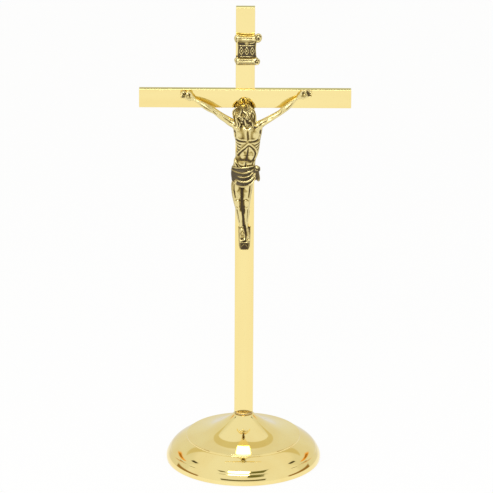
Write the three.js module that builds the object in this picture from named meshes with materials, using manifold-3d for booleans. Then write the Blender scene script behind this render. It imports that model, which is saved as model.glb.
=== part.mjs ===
// Standing cross: two flat brass bars lapped together on a spun, weighted base,
// with a small cast figure, its footrest and a title scroll pinned to the bars.
// Millimetres, +Z up, the front looks along -Y. The origin is the middle of the underside.

import * as THREE from 'three';
import { mergeVertices } from 'three/addons/utils/BufferGeometryUtils.js';
import Module from 'manifold-3d';

const wasm = await Module();
wasm.setup();

// Flat bars
const totalHeight = 406;
const barWidth = 16;
const barThickness = 6;
const crossbarLength = 178;
const crossbarHeight = 327; // middle of the crossbar above the table
const crossbarProud = 2; // how far its face stands in front of the upright's
const lapClearance = 0.1;

// Spun base
const baseDiameter = 133;
const rimLift = 0.5; // the felt stands this far below the rim
const rimHeight = 9.6; // up to the crease where its rounded shoulder ends
const rimShoulder = 3.3; // from the rim's face in to the crease
const beadWidth = 13.8; // the big rounded moulding, seen in plan
const beadHeight = 10.6;
const stepWidth = 0.9;
const stepHeight = 1.7;
const flareRise = 19.5; // the long flare, from the step up to the land
const landRadius = 8.4;
const shellWall = 1.2;

// Collar and the bar's foot
const collarRadius = 7.8;
const collarHeight = 2;
const collarChamfer = 0.5;

// Weight, underside and clamp
const feltThickness = 1.5;
const feltInset = 4.5; // the felt's edge, in from the rim
const plateThickness = 1.2;
const plateClearance = 0.3;
const weightClearance = 0.4;
const studRadius = 2;
const studEngagement = 16; // how far the stud reaches up into the bar
const studTail = 2; // how far it reaches below the nut
const nutAcrossFlats = 7;
const nutHeight = 3.2;
const washerRadius = 6;
const washerThickness = 1.2;
const clampDepth = 12; // from the plate up to the washer's seat
const clampWellRadius = 10;
const spigotRadius = 5; // the weight's neck, up under the land
const weightNeckRadius = 13; // where the weight stops following the flare

// Fasteners
const holeClearance = 0.3;
const screwRadius = 1.5;
const screwHeadRadius = 3;
const screwHeadDepth = 1.6;
const screwSpacing = 9;
const screwReach = 2.8; // how far a crossing screw goes into the crossbar
const screwSlotWidth = 0.8;
const screwSlotDepth = 0.7;
const pinRadius = 0.8;
const pinHeadRadius = 1.6;
const pinHeadHeight = 1;
const pinReach = 3.4; // how far a pin goes into the bar behind it

// Title scroll
const scrollRise = 0.479; // its panel's middle, as a share of the way from the crossbar up to the bar's end
const scrollOffset = 1.2; // it sits a little to the right of the upright's middle
const scrollWidth = 17;
const scrollPanelHeight = 15.4;
const scrollSheet = 1.5;
const topRollRadius = 3.1;
const bottomRollRadius = 3.6;
const curlRadius = 2.7;
const bossRadius = 2.3;
const bossHeight = 0.9;
const scrollPinDrop = 0.4; // the pin sits this far below the top of the panel
const lozengeSize = 2.1;
const lozengeCount = 3;

// Figure, measured from the crossing on the crossbar's front face
const palmSpan = 97.8; // from one hand's pin to the other's
const palmShift = 0.9; // their middle stands to the right of the upright's
const leftPalmRise = 2.9;
const rightPalmRise = 4.8;
const palmFront = 4.6; // how far in front of the crossbar a pin's head seats
const footPinOffset = 1.6; // to the left of the middle
const footPinDrop = 116.4;
const footPinFront = 10.2;
const footrestWidth = 11;
const footrestFrontWidth = 8.6;
const footrestNarrowing = 0.84; // its underside against its top
const footrestTopDrop = 113.6; // at the back
const footrestFrontDrop = 125; // its top's front edge
const footrestBottomDrop = 131.8;
const footrestFront = 8.2;

// Places worked out from the sizes above
const uprightFront = -barThickness / 2;
const crossbarFront = uprightFront - crossbarProud;
const crossbarBack = crossbarFront + barThickness;
const lapPlane = (uprightFront + crossbarBack) / 2;
const crossbarTop = crossbarHeight + barWidth / 2;
const scrollHeight = crossbarTop + scrollRise * (totalHeight - crossbarTop);
const leftPalm = { x: palmShift - palmSpan / 2, z: leftPalmRise };
const rightPalm = { x: palmShift + palmSpan / 2, z: rightPalmRise };
const footPinX = -footPinOffset;
const footPinZ = -footPinDrop;
const figureScale = palmSpan / 97.8; // the figure is drawn for pins this far apart
const rimRadius = baseDiameter / 2;
const feltRadius = rimRadius - feltInset;
const beadOuter = rimRadius - rimShoulder;
const beadInner = beadOuter - beadWidth;
const beadTop = rimHeight + beadHeight;
const flareOuter = beadInner - stepWidth;
const flareFoot = beadTop + stepHeight;
const flareWidth = flareOuter - landRadius;
const landHeight = flareFoot + flareRise;
const collarTop = landHeight + collarHeight;
const plateTop = feltThickness + plateThickness;
const washerTop = plateTop + clampDepth;
const nutTop = washerTop - washerThickness;
const studBottom = nutTop - nutHeight - studTail;
const studHole = studRadius + holeClearance;
const bossFace = uprightFront - scrollSheet - bossHeight;
const roundSides = 16;

const polishedBrass = { color: 0xf2d489, metalness: 1, roughness: 0.08 };
const antiqueBrass = { color: 0xb8923f, metalness: 1, roughness: 0.38 };
const zincSteel = { color: 0xa9abad, metalness: 1, roughness: 0.35 };
const castIron = { color: 0x3a3a3c, metalness: 0.7, roughness: 0.7 };
const darkFelt = { color: 0x1f3d2b, metalness: 0, roughness: 1 };

// Booleans

function solid(geometry) {
  const bare = geometry.clone();
  bare.deleteAttribute('normal');
  bare.deleteAttribute('uv');
  const merged = mergeVertices(bare, 1e-4);
  return new wasm.Manifold(new wasm.Mesh({
    numProp: 3,
    vertProperties: new Float32Array(merged.attributes.position.array),
    triVerts: new Uint32Array(merged.index.array),
  }));
}

function toGeometry(manifold) {
  const mesh = manifold.getMesh();
  const geometry = new THREE.BufferGeometry();
  geometry.setAttribute('position', new THREE.BufferAttribute(mesh.vertProperties, 3));
  geometry.setIndex(new THREE.BufferAttribute(mesh.triVerts, 1));
  return geometry;
}

function join(geometries) {
  return geometries.map(solid).reduce((whole, piece) => whole.add(piece));
}

function cut(body, tools) {
  return tools.map(solid).reduce((rest, tool) => rest.subtract(tool), body);
}

// Simple forms

function block(low, high) {
  const size = high.map((value, axis) => value - low[axis]);
  const middle = high.map((value, axis) => (value + low[axis]) / 2);
  return new THREE.BoxGeometry(...size).translate(...middle);
}

function rodZ(radius, low, high, x = 0, y = 0, sides = roundSides) {
  const rod = new THREE.CylinderGeometry(radius, radius, high - low, sides);
  return rod.rotateX(Math.PI / 2).translate(x, y, (low + high) / 2);
}

function rodY(radius, front, back, x, z, sides = roundSides) {
  const rod = new THREE.CylinderGeometry(radius, radius, back - front, sides);
  return rod.translate(0, (front + back) / 2, 0).translate(x, 0, z);
}

function turned(outline, sides = roundSides) {
  const points = outline.map(([radius, height]) => new THREE.Vector2(radius, height));
  return new THREE.LatheGeometry(points, sides).rotateX(Math.PI / 2);
}

function ball(centre, size, around = 12, along = 8) {
  return new THREE.SphereGeometry(1, around, along).scale(...size).translate(...centre);
}

// A limb: a round-ended form that follows stations of x, y, z, half width and half depth.
// The half depth lies towards the facing direction, the half width across it.
function limb(stations, around = 10, along = 12, facing = [0, -1, 0]) {
  const path = new THREE.CatmullRomCurve3(stations.map((s) => new THREE.Vector3(s[0], s[1], s[2])));
  const sizes = new THREE.CatmullRomCurve3(stations.map((s) => new THREE.Vector3(s[3], s[4], 0)));
  const form = new THREE.SphereGeometry(1, around, along);
  const place = form.attributes.position;
  const front = new THREE.Vector3(...facing);
  for (let i = 0; i < place.count; i += 1) {
    const ring = Math.acos(THREE.MathUtils.clamp(place.getY(i), -1, 1)) / Math.PI;
    const swell = Math.sin(Math.PI * ring);
    const share = swell > 1e-6 ? Math.min(1, Math.sqrt(swell * 1.6)) / swell : 0;
    const centre = path.getPoint(ring);
    const size = sizes.getPoint(ring);
    const run = path.getTangent(ring);
    const across = new THREE.Vector3().crossVectors(run, front).normalize();
    const outward = new THREE.Vector3().crossVectors(across, run).normalize();
    centre.addScaledVector(across, place.getX(i) * share * size.x);
    centre.addScaledVector(outward, -place.getZ(i) * share * size.y);
    place.setXYZ(i, centre.x, centre.y, centre.z);
  }
  return form;
}

function makeMesh(name, body, look) {
  const geometry = body.isBufferGeometry ? body : toGeometry(body);
  const mesh = new THREE.Mesh(geometry, new THREE.MeshStandardMaterial(look));
  mesh.name = name;
  return mesh;
}

// Spun base shell

function curvePoints(from, controlA, controlB, to, count) {
  const curve = new THREE.CubicBezierCurve(
    new THREE.Vector2(...from),
    new THREE.Vector2(...controlA),
    new THREE.Vector2(...controlB),
    new THREE.Vector2(...to),
  );
  return curve.getPoints(count).map((p) => [p.x, p.y]);
}

function rimCurve(steps) {
  return curvePoints(
    [rimRadius, rimHeight * 0.3],
    [rimRadius, rimHeight * 0.55],
    [rimRadius - rimShoulder / 2, rimHeight * 0.8],
    [beadOuter + 0.4, rimHeight - 0.1],
    steps,
  );
}

function beadCurve(steps) {
  return curvePoints(
    [beadOuter, rimHeight + 0.4],
    [beadOuter - beadWidth * 0.14, rimHeight + beadHeight * 0.38],
    [beadInner + beadWidth * 0.36, beadTop - beadHeight * 0.21],
    [beadInner, beadTop],
    steps,
  );
}

function flareCurve(steps) {
  return curvePoints(
    [flareOuter, flareFoot],
    [flareOuter - flareWidth * 0.4, flareFoot + flareRise * 0.13],
    [flareOuter - flareWidth * 0.6, flareFoot + flareRise * 0.33],
    [landRadius, landHeight - 0.1],
    steps,
  );
}

function shellOutline() {
  return [
    [rimRadius - 0.4, rimLift],
    [rimRadius, rimLift + 0.8],
    ...rimCurve(3),
    ...beadCurve(5),
    [beadInner - stepWidth * 0.45, beadTop + 0.3],
    [flareOuter + stepWidth * 0.35, flareFoot - 0.3],
    ...flareCurve(8),
    [landRadius - 0.3, landHeight],
  ];
}

// What the wall and the weight inside are drawn from: the outline without its crease and step.
function plainOutline() {
  return [...rimCurve(1), ...beadCurve(3).slice(1), ...flareCurve(5).slice(1)];
}

// The same outline moved inwards by a wall or a clearance, ending on a given lowest height.
function insetOutline(outline, inset, lowest) {
  const kept = outline.filter(([, height]) => height > lowest + inset);
  const moved = kept.map(([radius, height], i) => {
    const before = kept[Math.max(i - 1, 0)];
    const after = kept[Math.min(i + 1, kept.length - 1)];
    const run = new THREE.Vector2(after[0] - before[0], after[1] - before[1]).normalize();
    return [radius - run.y * inset, Math.min(height + run.x * inset, landHeight - inset)];
  });
  return [[moved[0][0], lowest], ...moved];
}

function makeBaseShell() {
  const outer = shellOutline();
  const inner = insetOutline(plainOutline(), shellWall, rimLift).reverse();
  const ceiling = landHeight - shellWall;
  const section = [
    ...outer,
    [studHole, landHeight],
    [studHole, ceiling],
    [inner[0][0] - 0.2, ceiling],
    ...inner.slice(1),
    outer[0],
  ];
  return turned(section, 32);
}

function makeBaseWeight() {
  const shoulder = insetOutline(plainOutline(), shellWall + weightClearance, plateTop)
    .filter(([radius]) => radius > weightNeckRadius);
  const neck = shoulder[shoulder.length - 1][1];
  const section = [
    [clampWellRadius, plateTop],
    ...shoulder,
    [spigotRadius, neck],
    [spigotRadius, landHeight - shellWall],
    [studHole, landHeight - shellWall],
    [studHole, washerTop],
    [clampWellRadius, washerTop],
    [clampWellRadius, plateTop],
  ];
  return turned(section, 28);
}

function makeBasePlate() {
  const edge = insetOutline(plainOutline(), shellWall, rimLift)[0][0] - plateClearance;
  const section = [
    [clampWellRadius, feltThickness],
    [edge, feltThickness],
    [edge, plateTop],
    [clampWellRadius, plateTop],
    [clampWellRadius, feltThickness],
  ];
  return turned(section, 32);
}

function makeFeltPad() {
  return rodZ(feltRadius, 0, feltThickness, 0, 0, 32);
}

// Collar and clamp

function makeFootCollar() {
  const section = [
    [studHole, landHeight],
    [collarRadius - collarChamfer, landHeight],
    [collarRadius, landHeight + collarChamfer],
    [collarRadius, collarTop - collarChamfer],
    [collarRadius - collarChamfer, collarTop],
    [studHole, collarTop],
    [studHole, landHeight],
  ];
  return turned(section, 28);
}

function makeFootStud() {
  return rodZ(studRadius, studBottom, collarTop + studEngagement);
}

function makeClampWasher() {
  const section = [
    [studHole, nutTop],
    [washerRadius, nutTop],
    [washerRadius, washerTop],
    [studHole, washerTop],
    [studHole, nutTop],
  ];
  return turned(section, 20);
}

function makeClampNut() {
  const corner = nutAcrossFlats / Math.sqrt(3);
  const hexagon = rodZ(corner, nutTop - nutHeight, nutTop, 0, 0, 6);
  const bore = rodZ(studHole, nutTop - nutHeight - 1, nutTop + 1);
  return cut(solid(hexagon), [bore]);
}

// Bars

function screwHeights() {
  return [crossbarHeight + screwSpacing / 2, crossbarHeight - screwSpacing / 2];
}

function pinHole(x, face, z) {
  return rodY(pinRadius + holeClearance, face - 1, face + pinReach + holeClearance, x, z);
}

function makeUprightBar() {
  const half = barWidth / 2;
  const back = barThickness / 2;
  const body = block([-half, uprightFront, collarTop], [half, back, totalHeight]);
  const lapHalf = half + lapClearance;
  const lap = block(
    [-half - 1, uprightFront - 1, crossbarHeight - lapHalf],
    [half + 1, lapPlane, crossbarHeight + lapHalf],
  );
  const studBore = rodZ(studHole, collarTop - 1, collarTop + studEngagement + holeClearance);
  const shanks = screwHeights().map((z) => rodY(screwRadius + holeClearance, lapPlane - 1, back + 1, 0, z));
  const sinks = screwHeights().map((z) => countersink(z));
  const footHole = pinHole(footPinX, uprightFront, crossbarHeight + footPinZ);
  const scrollHole = pinHole(scrollOffset, uprightFront, scrollPinHeight());
  return cut(solid(body), [lap, studBore, ...shanks, ...sinks, footHole, scrollHole]);
}

function countersink(z) {
  const back = barThickness / 2;
  const wide = screwHeadRadius + holeClearance;
  const narrow = screwRadius + holeClearance;
  const cone = new THREE.CylinderGeometry(wide, narrow, screwHeadDepth, roundSides);
  const mouth = rodY(wide, back, back + 1, 0, z);
  return toGeometry(solid(cone.translate(0, back - screwHeadDepth / 2, z)).add(solid(mouth)));
}

function makeCrossbar() {
  const half = barWidth / 2;
  const body = block(
    [-crossbarLength / 2, crossbarFront, crossbarHeight - half],
    [crossbarLength / 2, crossbarBack, crossbarHeight + half],
  );
  const lap = block(
    [-half - lapClearance, lapPlane, crossbarHeight - half - 1],
    [half + lapClearance, crossbarBack + 1, crossbarHeight + half + 1],
  );
  const reach = lapPlane - screwReach - holeClearance;
  const taps = screwHeights().map((z) => rodY(screwRadius + holeClearance, reach, lapPlane + 1, 0, z));
  const palms = [leftPalm, rightPalm].map((palm) =>
    pinHole(palm.x, crossbarFront, crossbarHeight + palm.z));
  return cut(solid(body), [lap, ...taps, ...palms]);
}

function makeCrossingScrew(z) {
  const back = barThickness / 2;
  const tip = lapPlane - screwReach;
  const neck = back - screwHeadDepth;
  const shank = rodY(screwRadius, tip, neck, 0, z);
  const head = new THREE.CylinderGeometry(screwHeadRadius, screwRadius, screwHeadDepth, roundSides);
  head.translate(0, neck + screwHeadDepth / 2, z);
  const slot = block(
    [-screwHeadRadius - 1, back - screwSlotDepth, z - screwSlotWidth / 2],
    [screwHeadRadius + 1, back + 1, z + screwSlotWidth / 2],
  );
  return cut(join([shank, head]), [slot]);
}

// A round-headed pin whose head seats on one face and whose shank ends in the bar behind.
function makePin(x, seat, face, z) {
  const shank = rodY(pinRadius, seat, face + pinReach, x, z, 12);
  const head = ball([0, 0, 0], [pinHeadRadius, pinHeadHeight, pinHeadRadius], 12, 8);
  const crown = solid(head).subtract(solid(block([-5, 0, -5], [5, 5, 5])));
  const placed = toGeometry(crown).translate(x, seat, z);
  return solid(shank).add(solid(placed));
}

// Title scroll: a sheet whose ends roll forwards, on a flat back

function scrollPinHeight() {
  return scrollHeight + scrollPanelHeight / 2 - scrollPinDrop;
}

function rollSection(radius, middleY, middleZ, start, turn) {
  const shape = new THREE.Shape();
  const steps = 14;
  const sweep = turn * Math.PI * 2.6;
  const at = (i, inset) => {
    const share = i / steps;
    const angle = start + sweep * share;
    const reach = radius * (1 - 0.55 * share) - inset;
    return [middleY + reach * Math.cos(angle), middleZ + reach * Math.sin(angle)];
  };
  shape.moveTo(...at(0, 0));
  for (let i = 1; i <= steps; i += 1) shape.lineTo(...at(i, 0));
  for (let i = steps; i >= 0; i -= 1) shape.lineTo(...at(i, scrollSheet * 0.62));
  return shape;
}

function extrudeAcross(shape, width, x) {
  const form = new THREE.ExtrudeGeometry(shape, { depth: width, bevelEnabled: false, curveSegments: 6 });
  const turn = new THREE.Matrix4().makeBasis(
    new THREE.Vector3(0, 1, 0),
    new THREE.Vector3(0, 0, 1),
    new THREE.Vector3(1, 0, 0),
  );
  return form.applyMatrix4(turn).translate(x - width / 2, 0, 0);
}

function lozenge(x, z) {
  const form = new THREE.CylinderGeometry(lozengeSize * 0.35, lozengeSize, 0.8, 4);
  return form.scale(0.8, 1, 1).rotateX(Math.PI / 2).translate(x, uprightFront - scrollSheet - 0.3, z);
}

function makeTitleScroll() {
  const halfPanel = scrollPanelHeight / 2;
  const top = scrollHeight + halfPanel + topRollRadius;
  const bottom = scrollHeight - halfPanel - bottomRollRadius * 0.3;
  const panelFront = uprightFront - scrollSheet;
  const low = [scrollOffset - scrollWidth / 2, panelFront, bottom];
  const high = [scrollOffset + scrollWidth / 2, uprightFront, top];
  const panel = block(low, high);
  const topMiddle = uprightFront - topRollRadius;
  const bottomMiddle = uprightFront - bottomRollRadius;
  const topRoll = extrudeAcross(
    rollSection(topRollRadius, topMiddle, top, 0, 1), scrollWidth + 3, scrollOffset - 0.4);
  const bottomRoll = extrudeAcross(
    rollSection(bottomRollRadius, bottomMiddle, bottom, 0, -1), scrollWidth + 2, scrollOffset + 0.2);
  const topCore = new THREE.CylinderGeometry(topRollRadius * 0.7, topRollRadius * 0.7, scrollWidth, 10);
  topCore.rotateZ(Math.PI / 2).translate(scrollOffset - 0.4, topMiddle, top);
  const bottomCore = new THREE.CylinderGeometry(bottomRollRadius * 0.7, bottomRollRadius * 0.7, scrollWidth, 10);
  bottomCore.rotateZ(Math.PI / 2).translate(scrollOffset + 0.2, bottomMiddle, bottom);
  const curl = new THREE.TorusGeometry(curlRadius, 1, 6, 12);
  curl.rotateY(Math.PI * 0.3).rotateX(Math.PI * 0.42);
  curl.translate(scrollOffset + scrollWidth / 2 - 0.2, topMiddle - 0.3, top + 1.2);
  const boss = rodY(bossRadius, bossFace, uprightFront, scrollOffset, scrollPinHeight(), 14);
  const rows = [halfPanel - 3.6, -halfPanel + 3.1];
  const rules = rows.map((z) => block(
    [low[0] + 1, panelFront - 0.5, scrollHeight + z - 0.35],
    [high[0] - 1, panelFront + 0.4, scrollHeight + z + 0.35],
  ));
  const pitch = (scrollWidth - 3) / lozengeCount;
  const marks = Array.from({ length: lozengeCount }, (_, i) =>
    lozenge(scrollOffset + (i - (lozengeCount - 1) / 2) * pitch, scrollHeight + (rows[0] + rows[1]) / 2));
  const whole = join([panel, topRoll, topCore, bottomRoll, bottomCore, curl, boss, ...rules, ...marks]);
  const behind = block([-40, uprightFront, scrollHeight - 40], [40, uprightFront + 10, scrollHeight + 40]);
  const hole = rodY(pinRadius + holeClearance, bossFace - 1, uprightFront + 1, scrollOffset, scrollPinHeight());
  const headRoom = rodY(pinHeadRadius + holeClearance, bossFace - 9, bossFace, scrollOffset, scrollPinHeight());
  return cut(whole, [behind, hole, headRoom]);
}

// Figure. Its forms are measured from the crossing, on the crossbar's front face.

const leftArm = [
  [-7.5, -7.0, -21.0, 3.8, 4.6],
  [-10.5, -7.2, -19.4, 3.8, 4.2],
  [-14.8, -7.0, -16.2, 3.1, 3.4],
  [-19.7, -7.0, -13.2, 2.9, 3.1],
  [-24.8, -6.5, -9.3, 2.6, 2.8],
  [-28.5, -6.3, -7.3, 2.9, 2.9],
  [-33.0, -6.0, -4.9, 2.9, 2.8],
  [-39.6, -4.4, -1.1, 2.5, 2.2],
  [-43.8, -3.4, 0.8, 2.4, 1.8],
  [-47.6, -2.8, 2.4, 2.6, 1.6],
];

const rightArm = [
  [8.6, -7.0, -22.2, 3.8, 4.6],
  [11.5, -7.2, -20.8, 3.7, 4.2],
  [14.8, -7.0, -18.9, 3.0, 3.3],
  [21.1, -7.0, -15.0, 2.7, 3.0],
  [28.9, -6.5, -10.3, 2.5, 2.7],
  [32.3, -6.2, -7.4, 2.8, 2.8],
  [35.9, -6.0, -4.5, 2.8, 2.7],
  [41.1, -4.4, -0.1, 2.4, 2.1],
  [45.4, -3.4, 2.2, 2.3, 1.8],
  [49.4, -2.8, 4.4, 2.5, 1.6],
];

const torso = [
  [-1.8, -5.6, -72.0, 8.0, 5.4],
  [-1.4, -5.8, -65.0, 9.9, 6.5],
  [-0.5, -5.8, -58.0, 9.6, 6.0],
  [0.2, -5.6, -51.0, 8.6, 5.3],
  [2.3, -6.2, -43.3, 9.4, 6.0],
  [2.7, -6.6, -34.5, 10.2, 6.6],
  [2.0, -7.0, -27.0, 11.3, 6.6],
  [1.2, -7.2, -21.5, 9.8, 5.8],
  [0.2, -7.6, -16.0, 5.2, 4.4],
];

const leftLeg = [
  [-6.4, -6.4, -66.0, 4.9, 5.2],
  [-6.6, -7.2, -74.0, 5.2, 5.0],
  [-6.4, -9.0, -82.7, 4.7, 4.4],
  [-5.6, -10.8, -89.3, 3.5, 3.8],
  [-4.8, -9.8, -94.5, 2.9, 3.3],
  [-3.9, -8.0, -101.5, 2.7, 3.4],
  [-3.1, -6.2, -108.5, 2.2, 2.5],
  [-2.5, -6.6, -113.4, 2.4, 2.3],
  [-2.1, -8.0, -117.4, 2.3, 1.6],
];

const rightLeg = [
  [2.8, -6.4, -66.0, 4.8, 5.2],
  [2.1, -7.2, -74.0, 5.1, 5.0],
  [1.2, -9.0, -82.7, 4.4, 4.3],
  [1.1, -10.4, -89.3, 3.4, 3.7],
  [1.1, -9.2, -94.5, 2.8, 3.2],
  [1.0, -7.2, -101.5, 2.5, 3.3],
  [1.2, -5.2, -108.5, 2.0, 2.4],
  [1.2, -4.6, -113.6, 2.2, 2.2],
  [1.4, -5.6, -117.8, 2.2, 1.6],
];

const upperFoot = [
  [-2.7, -5.8, -111.0, 2.0, 2.2],
  [-2.4, -7.0, -114.2, 2.4, 2.0],
  [-1.9, -8.4, -117.0, 2.6, 1.6],
  [-1.5, -9.9, -119.8, 2.8, 1.3],
  [-1.3, -11.0, -122.2, 2.4, 0.9],
];

const lowerFoot = [
  [1.2, -4.2, -111.5, 1.9, 2.0],
  [1.5, -4.6, -115.0, 2.3, 2.0],
  [1.9, -6.0, -118.3, 2.4, 1.6],
  [2.2, -7.6, -121.2, 2.4, 1.3],
  [2.4, -8.6, -123.2, 2.0, 0.9],
];

function makeHand(palmPin) {
  const side = Math.sign(palmPin.x);
  const out = new THREE.Vector3(side * 0.93, 0, 0.37);
  const across = new THREE.Vector3(-side * 0.37, 0, 0.93);
  const middle = new THREE.Vector3(palmPin.x, 0, palmPin.z);
  const at = (along, over, depth) => {
    const place = middle.clone().addScaledVector(out, along).addScaledVector(across, over);
    return [place.x, depth, place.z];
  };
  const palm = limb([
    [...at(-6.4, 0, -3.4), 2.2, 1.7],
    [...at(-3.0, 0, -3.0), 3.1, 1.8],
    [...at(0, 0, -2.7), 3.6, 1.6],
    [...at(2.6, 0, -2.6), 3.4, 1.3],
  ], 9, 7);
  const fingers = [-2.5, -0.85, 0.85, 2.4].map((over, i) => {
    const length = [4.2, 5.2, 5.4, 4.8][i];
    return limb([
      [...at(1.4, over, -2.6), 0.95, 0.95],
      [...at(length, over, -3.4), 0.95, 0.95],
      [...at(length + 0.3, over, -5.2), 0.9, 0.9],
      [...at(length - 1.6, over, -5.9), 0.7, 0.7],
    ], 5, 5, [across.x, 0, across.z]);
  });
  const thumb = limb([
    [...at(-3.4, 1.8, -3.2), 1.2, 1.2],
    [...at(-1.0, 3.9, -4.4), 1.1, 1.1],
    [...at(1.8, 4.2, -5.4), 0.8, 0.8],
  ], 5, 4);
  return [palm, ...fingers, thumb];
}

// The head is made upright about its own middle, then bowed forwards and turned.
const headMiddle = [0, -11.4, -11.2];
const headBow = 22;
const headTurn = -8;
const headTilt = -13;

function headForms() {
  const skull = ball([0, 0.6, 1.4], [6.0, 7.2, 7.4], 10, 8);
  const jaw = ball([0, -1.8, -4.6], [4.3, 4.8, 5.0], 10, 7);
  const nose = limb([
    [0, -6.2, 1.4, 0.8, 0.6],
    [0, -7.2, -0.6, 0.9, 0.9],
    [0, -7.4, -2.0, 1.3, 1.0],
  ], 6, 5);
  const brows = [-1, 1].map((side) => limb([
    [side * 0.9, -6.2, 1.5, 0.6, 0.6],
    [side * 2.4, -6.1, 2.0, 0.7, 0.7],
    [side * 4.2, -4.9, 1.3, 0.6, 0.6],
  ], 5, 4));
  const lids = [-1, 1].map((side) => ball([side * 2.2, -5.5, 0.2], [1.25, 0.9, 0.8], 6, 4));
  const lips = ball([0, -6.3, -4.0], [1.7, 0.8, 0.7], 6, 4);
  const beard = limb([
    [0, -4.4, -5.2, 3.6, 2.4],
    [0, -5.0, -7.6, 3.0, 2.2],
    [0, -5.2, -10.2, 1.5, 1.3],
  ], 7, 5);
  const hairCap = ball([0, 1.8, 2.0], [6.7, 7.3, 7.4], 12, 8);
  return [skull, jaw, nose, ...brows, ...lids, lips, beard, hairCap];
}

// Two cords twisted round each other, bent from plain rings.
function wreathForms() {
  const middle = [0, 0.8, 3.8];
  const reach = [6.9, 7.7];
  const cords = [0, Math.PI].map((phase) => {
    const ring = new THREE.TorusGeometry(1, 0.1, 4, 30);
    const place = ring.attributes.position;
    for (let i = 0; i < place.count; i += 1) {
      const angle = Math.atan2(place.getY(i), place.getX(i));
      const twist = angle * 5 + phase;
      const out = 1 + 0.075 * Math.cos(twist);
      const cord = [place.getX(i) - Math.cos(angle), place.getY(i) - Math.sin(angle), place.getZ(i)];
      place.setXYZ(
        i,
        middle[0] + reach[0] * out * Math.cos(angle) + 6.4 * cord[0],
        middle[1] + reach[1] * out * Math.sin(angle) + 6.4 * cord[1],
        middle[2] + 0.55 * Math.sin(twist) + 6.4 * cord[2],
      );
    }
    return ring;
  });
  const thorns = Array.from({ length: 10 }, (_, i) => {
    const angle = (2 * Math.PI * (i + 0.5)) / 10;
    const thorn = new THREE.ConeGeometry(0.42, 2.4, 4).rotateX(Math.PI / 2 - 0.5 * (i % 2 ? 1 : -1));
    thorn.translate(0, 0, 1).rotateX(-Math.PI / 2).rotateZ(angle);
    const tip = [middle[0] + (reach[0] + 0.5) * Math.cos(angle), middle[1] + (reach[1] + 0.5) * Math.sin(angle)];
    return thorn.translate(...tip, middle[2]);
  });
  return [...cords, ...thorns];
}

function bow(geometry) {
  return geometry
    .rotateZ(THREE.MathUtils.degToRad(headTurn))
    .rotateX(THREE.MathUtils.degToRad(headBow))
    .rotateY(THREE.MathUtils.degToRad(headTilt))
    .translate(...headMiddle);
}

function hairLocks() {
  const left = [
    [-5.2, -13.0, -6.5, 2.0, 2.4],
    [-7.9, -12.0, -11.0, 2.3, 2.6],
    [-8.7, -11.2, -16.0, 2.2, 2.4],
    [-8.0, -11.8, -20.5, 1.9, 2.0],
    [-7.2, -12.4, -23.4, 1.1, 1.2],
  ];
  const right = [
    [3.6, -12.6, -6.5, 2.0, 2.4],
    [6.0, -11.4, -11.0, 2.2, 2.6],
    [7.4, -10.8, -15.6, 2.1, 2.3],
    [8.8, -11.2, -19.0, 1.8, 1.9],
    [9.8, -11.6, -21.4, 1.0, 1.2],
  ];
  const nape = [
    [-1.0, -7.6, -8.0, 5.6, 3.0],
    [-0.8, -6.6, -14.0, 6.6, 3.0],
    [-0.4, -7.0, -19.0, 5.6, 2.4],
  ];
  return [limb(left, 7, 7), limb(right, 7, 7), limb(nape, 8, 5)];
}

function loinclothForms() {
  const wrap = limb([
    [-0.4, -6.0, -54.2, 8.8, 5.6],
    [-0.9, -6.2, -57.5, 10.4, 6.8],
    [-1.1, -6.4, -62.0, 10.8, 7.2],
    [-1.3, -6.6, -66.4, 10.4, 7.3],
    [-1.2, -6.8, -69.6, 8.6, 6.6],
  ], 14, 7);
  const folds = [
    [[9.2, -9.0, -55.4], [2.0, -12.6, -57.4], [-5.6, -12.2, -57.8], [-11.2, -7.6, -57.2]],
    [[9.6, -10.0, -57.2], [3.4, -13.6, -60.2], [-4.6, -13.4, -61.4], [-11.6, -8.0, -60.2]],
    [[9.8, -10.4, -59.0], [4.4, -13.8, -63.4], [-4.0, -13.9, -64.6], [-11.7, -8.2, -63.0]],
    [[10.0, -10.0, -61.0], [5.4, -13.6, -66.2], [-0.8, -14.4, -68.6], [-6.8, -13.2, -67.8], [-11.3, -8.2, -65.4]],
  ].map((points) => limb(points.map((p) => [...p, 1.0, 1.0]), 5, 8, [0.1, -1, 0.4]));
  const knot = ball([10.0, -10.2, -57.4], [2.2, 2.0, 2.3], 8, 6);
  const tails = [
    [[10.2, -9.6, -58.2, 1.4, 1.4], [11.0, -9.4, -63.0, 1.6, 1.5], [11.6, -9.2, -69.6, 1.8, 1.3]],
    [[9.6, -9.8, -58.2, 1.3, 1.3], [9.3, -9.8, -63.0, 1.4, 1.4], [9.0, -9.4, -68.6, 1.6, 1.2]],
  ].map((stations) => limb(stations, 6, 5));
  return [wrap, ...folds, knot, ...tails];
}

function chestForms() {
  const pectorals = [[-3.0, -10.9, -28.2], [7.0, -10.9, -28.6]].map((centre) =>
    ball(centre, [6.4, 2.7, 6.0], 12, 8));
  const ribArches = [-1, 1].map((side) => limb([
    [3.0 + side * 0.8, -12.6, -35.4, 0.8, 0.9],
    [2.8 + side * 4.0, -12.0, -38.6, 1.0, 1.0],
    [2.4 + side * 6.6, -10.2, -43.0, 0.8, 0.9],
  ], 5, 6));
  const belly = ball([0.9, -8.4, -50.0], [6.0, 3.0, 6.6], 12, 8);
  const knees = [[-5.6, -12.2, -88.4], [1.2, -11.8, -88.6]].map((centre) =>
    ball(centre, [2.5, 2.4, 3.2], 8, 6));
  const collarBones = [-1, 1].map((side) => limb([
    [1.0 + side * 1.4, -11.6, -20.4, 0.7, 0.8],
    [0.8 + side * 5.4, -11.4, -20.0, 0.7, 0.8],
    [0.8 + side * 9.0, -9.8, -19.4, 0.7, 0.8],
  ], 5, 5, [0, 0, 1]));
  return [...pectorals, ...ribArches, belly, ...knees, ...collarBones];
}

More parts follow.
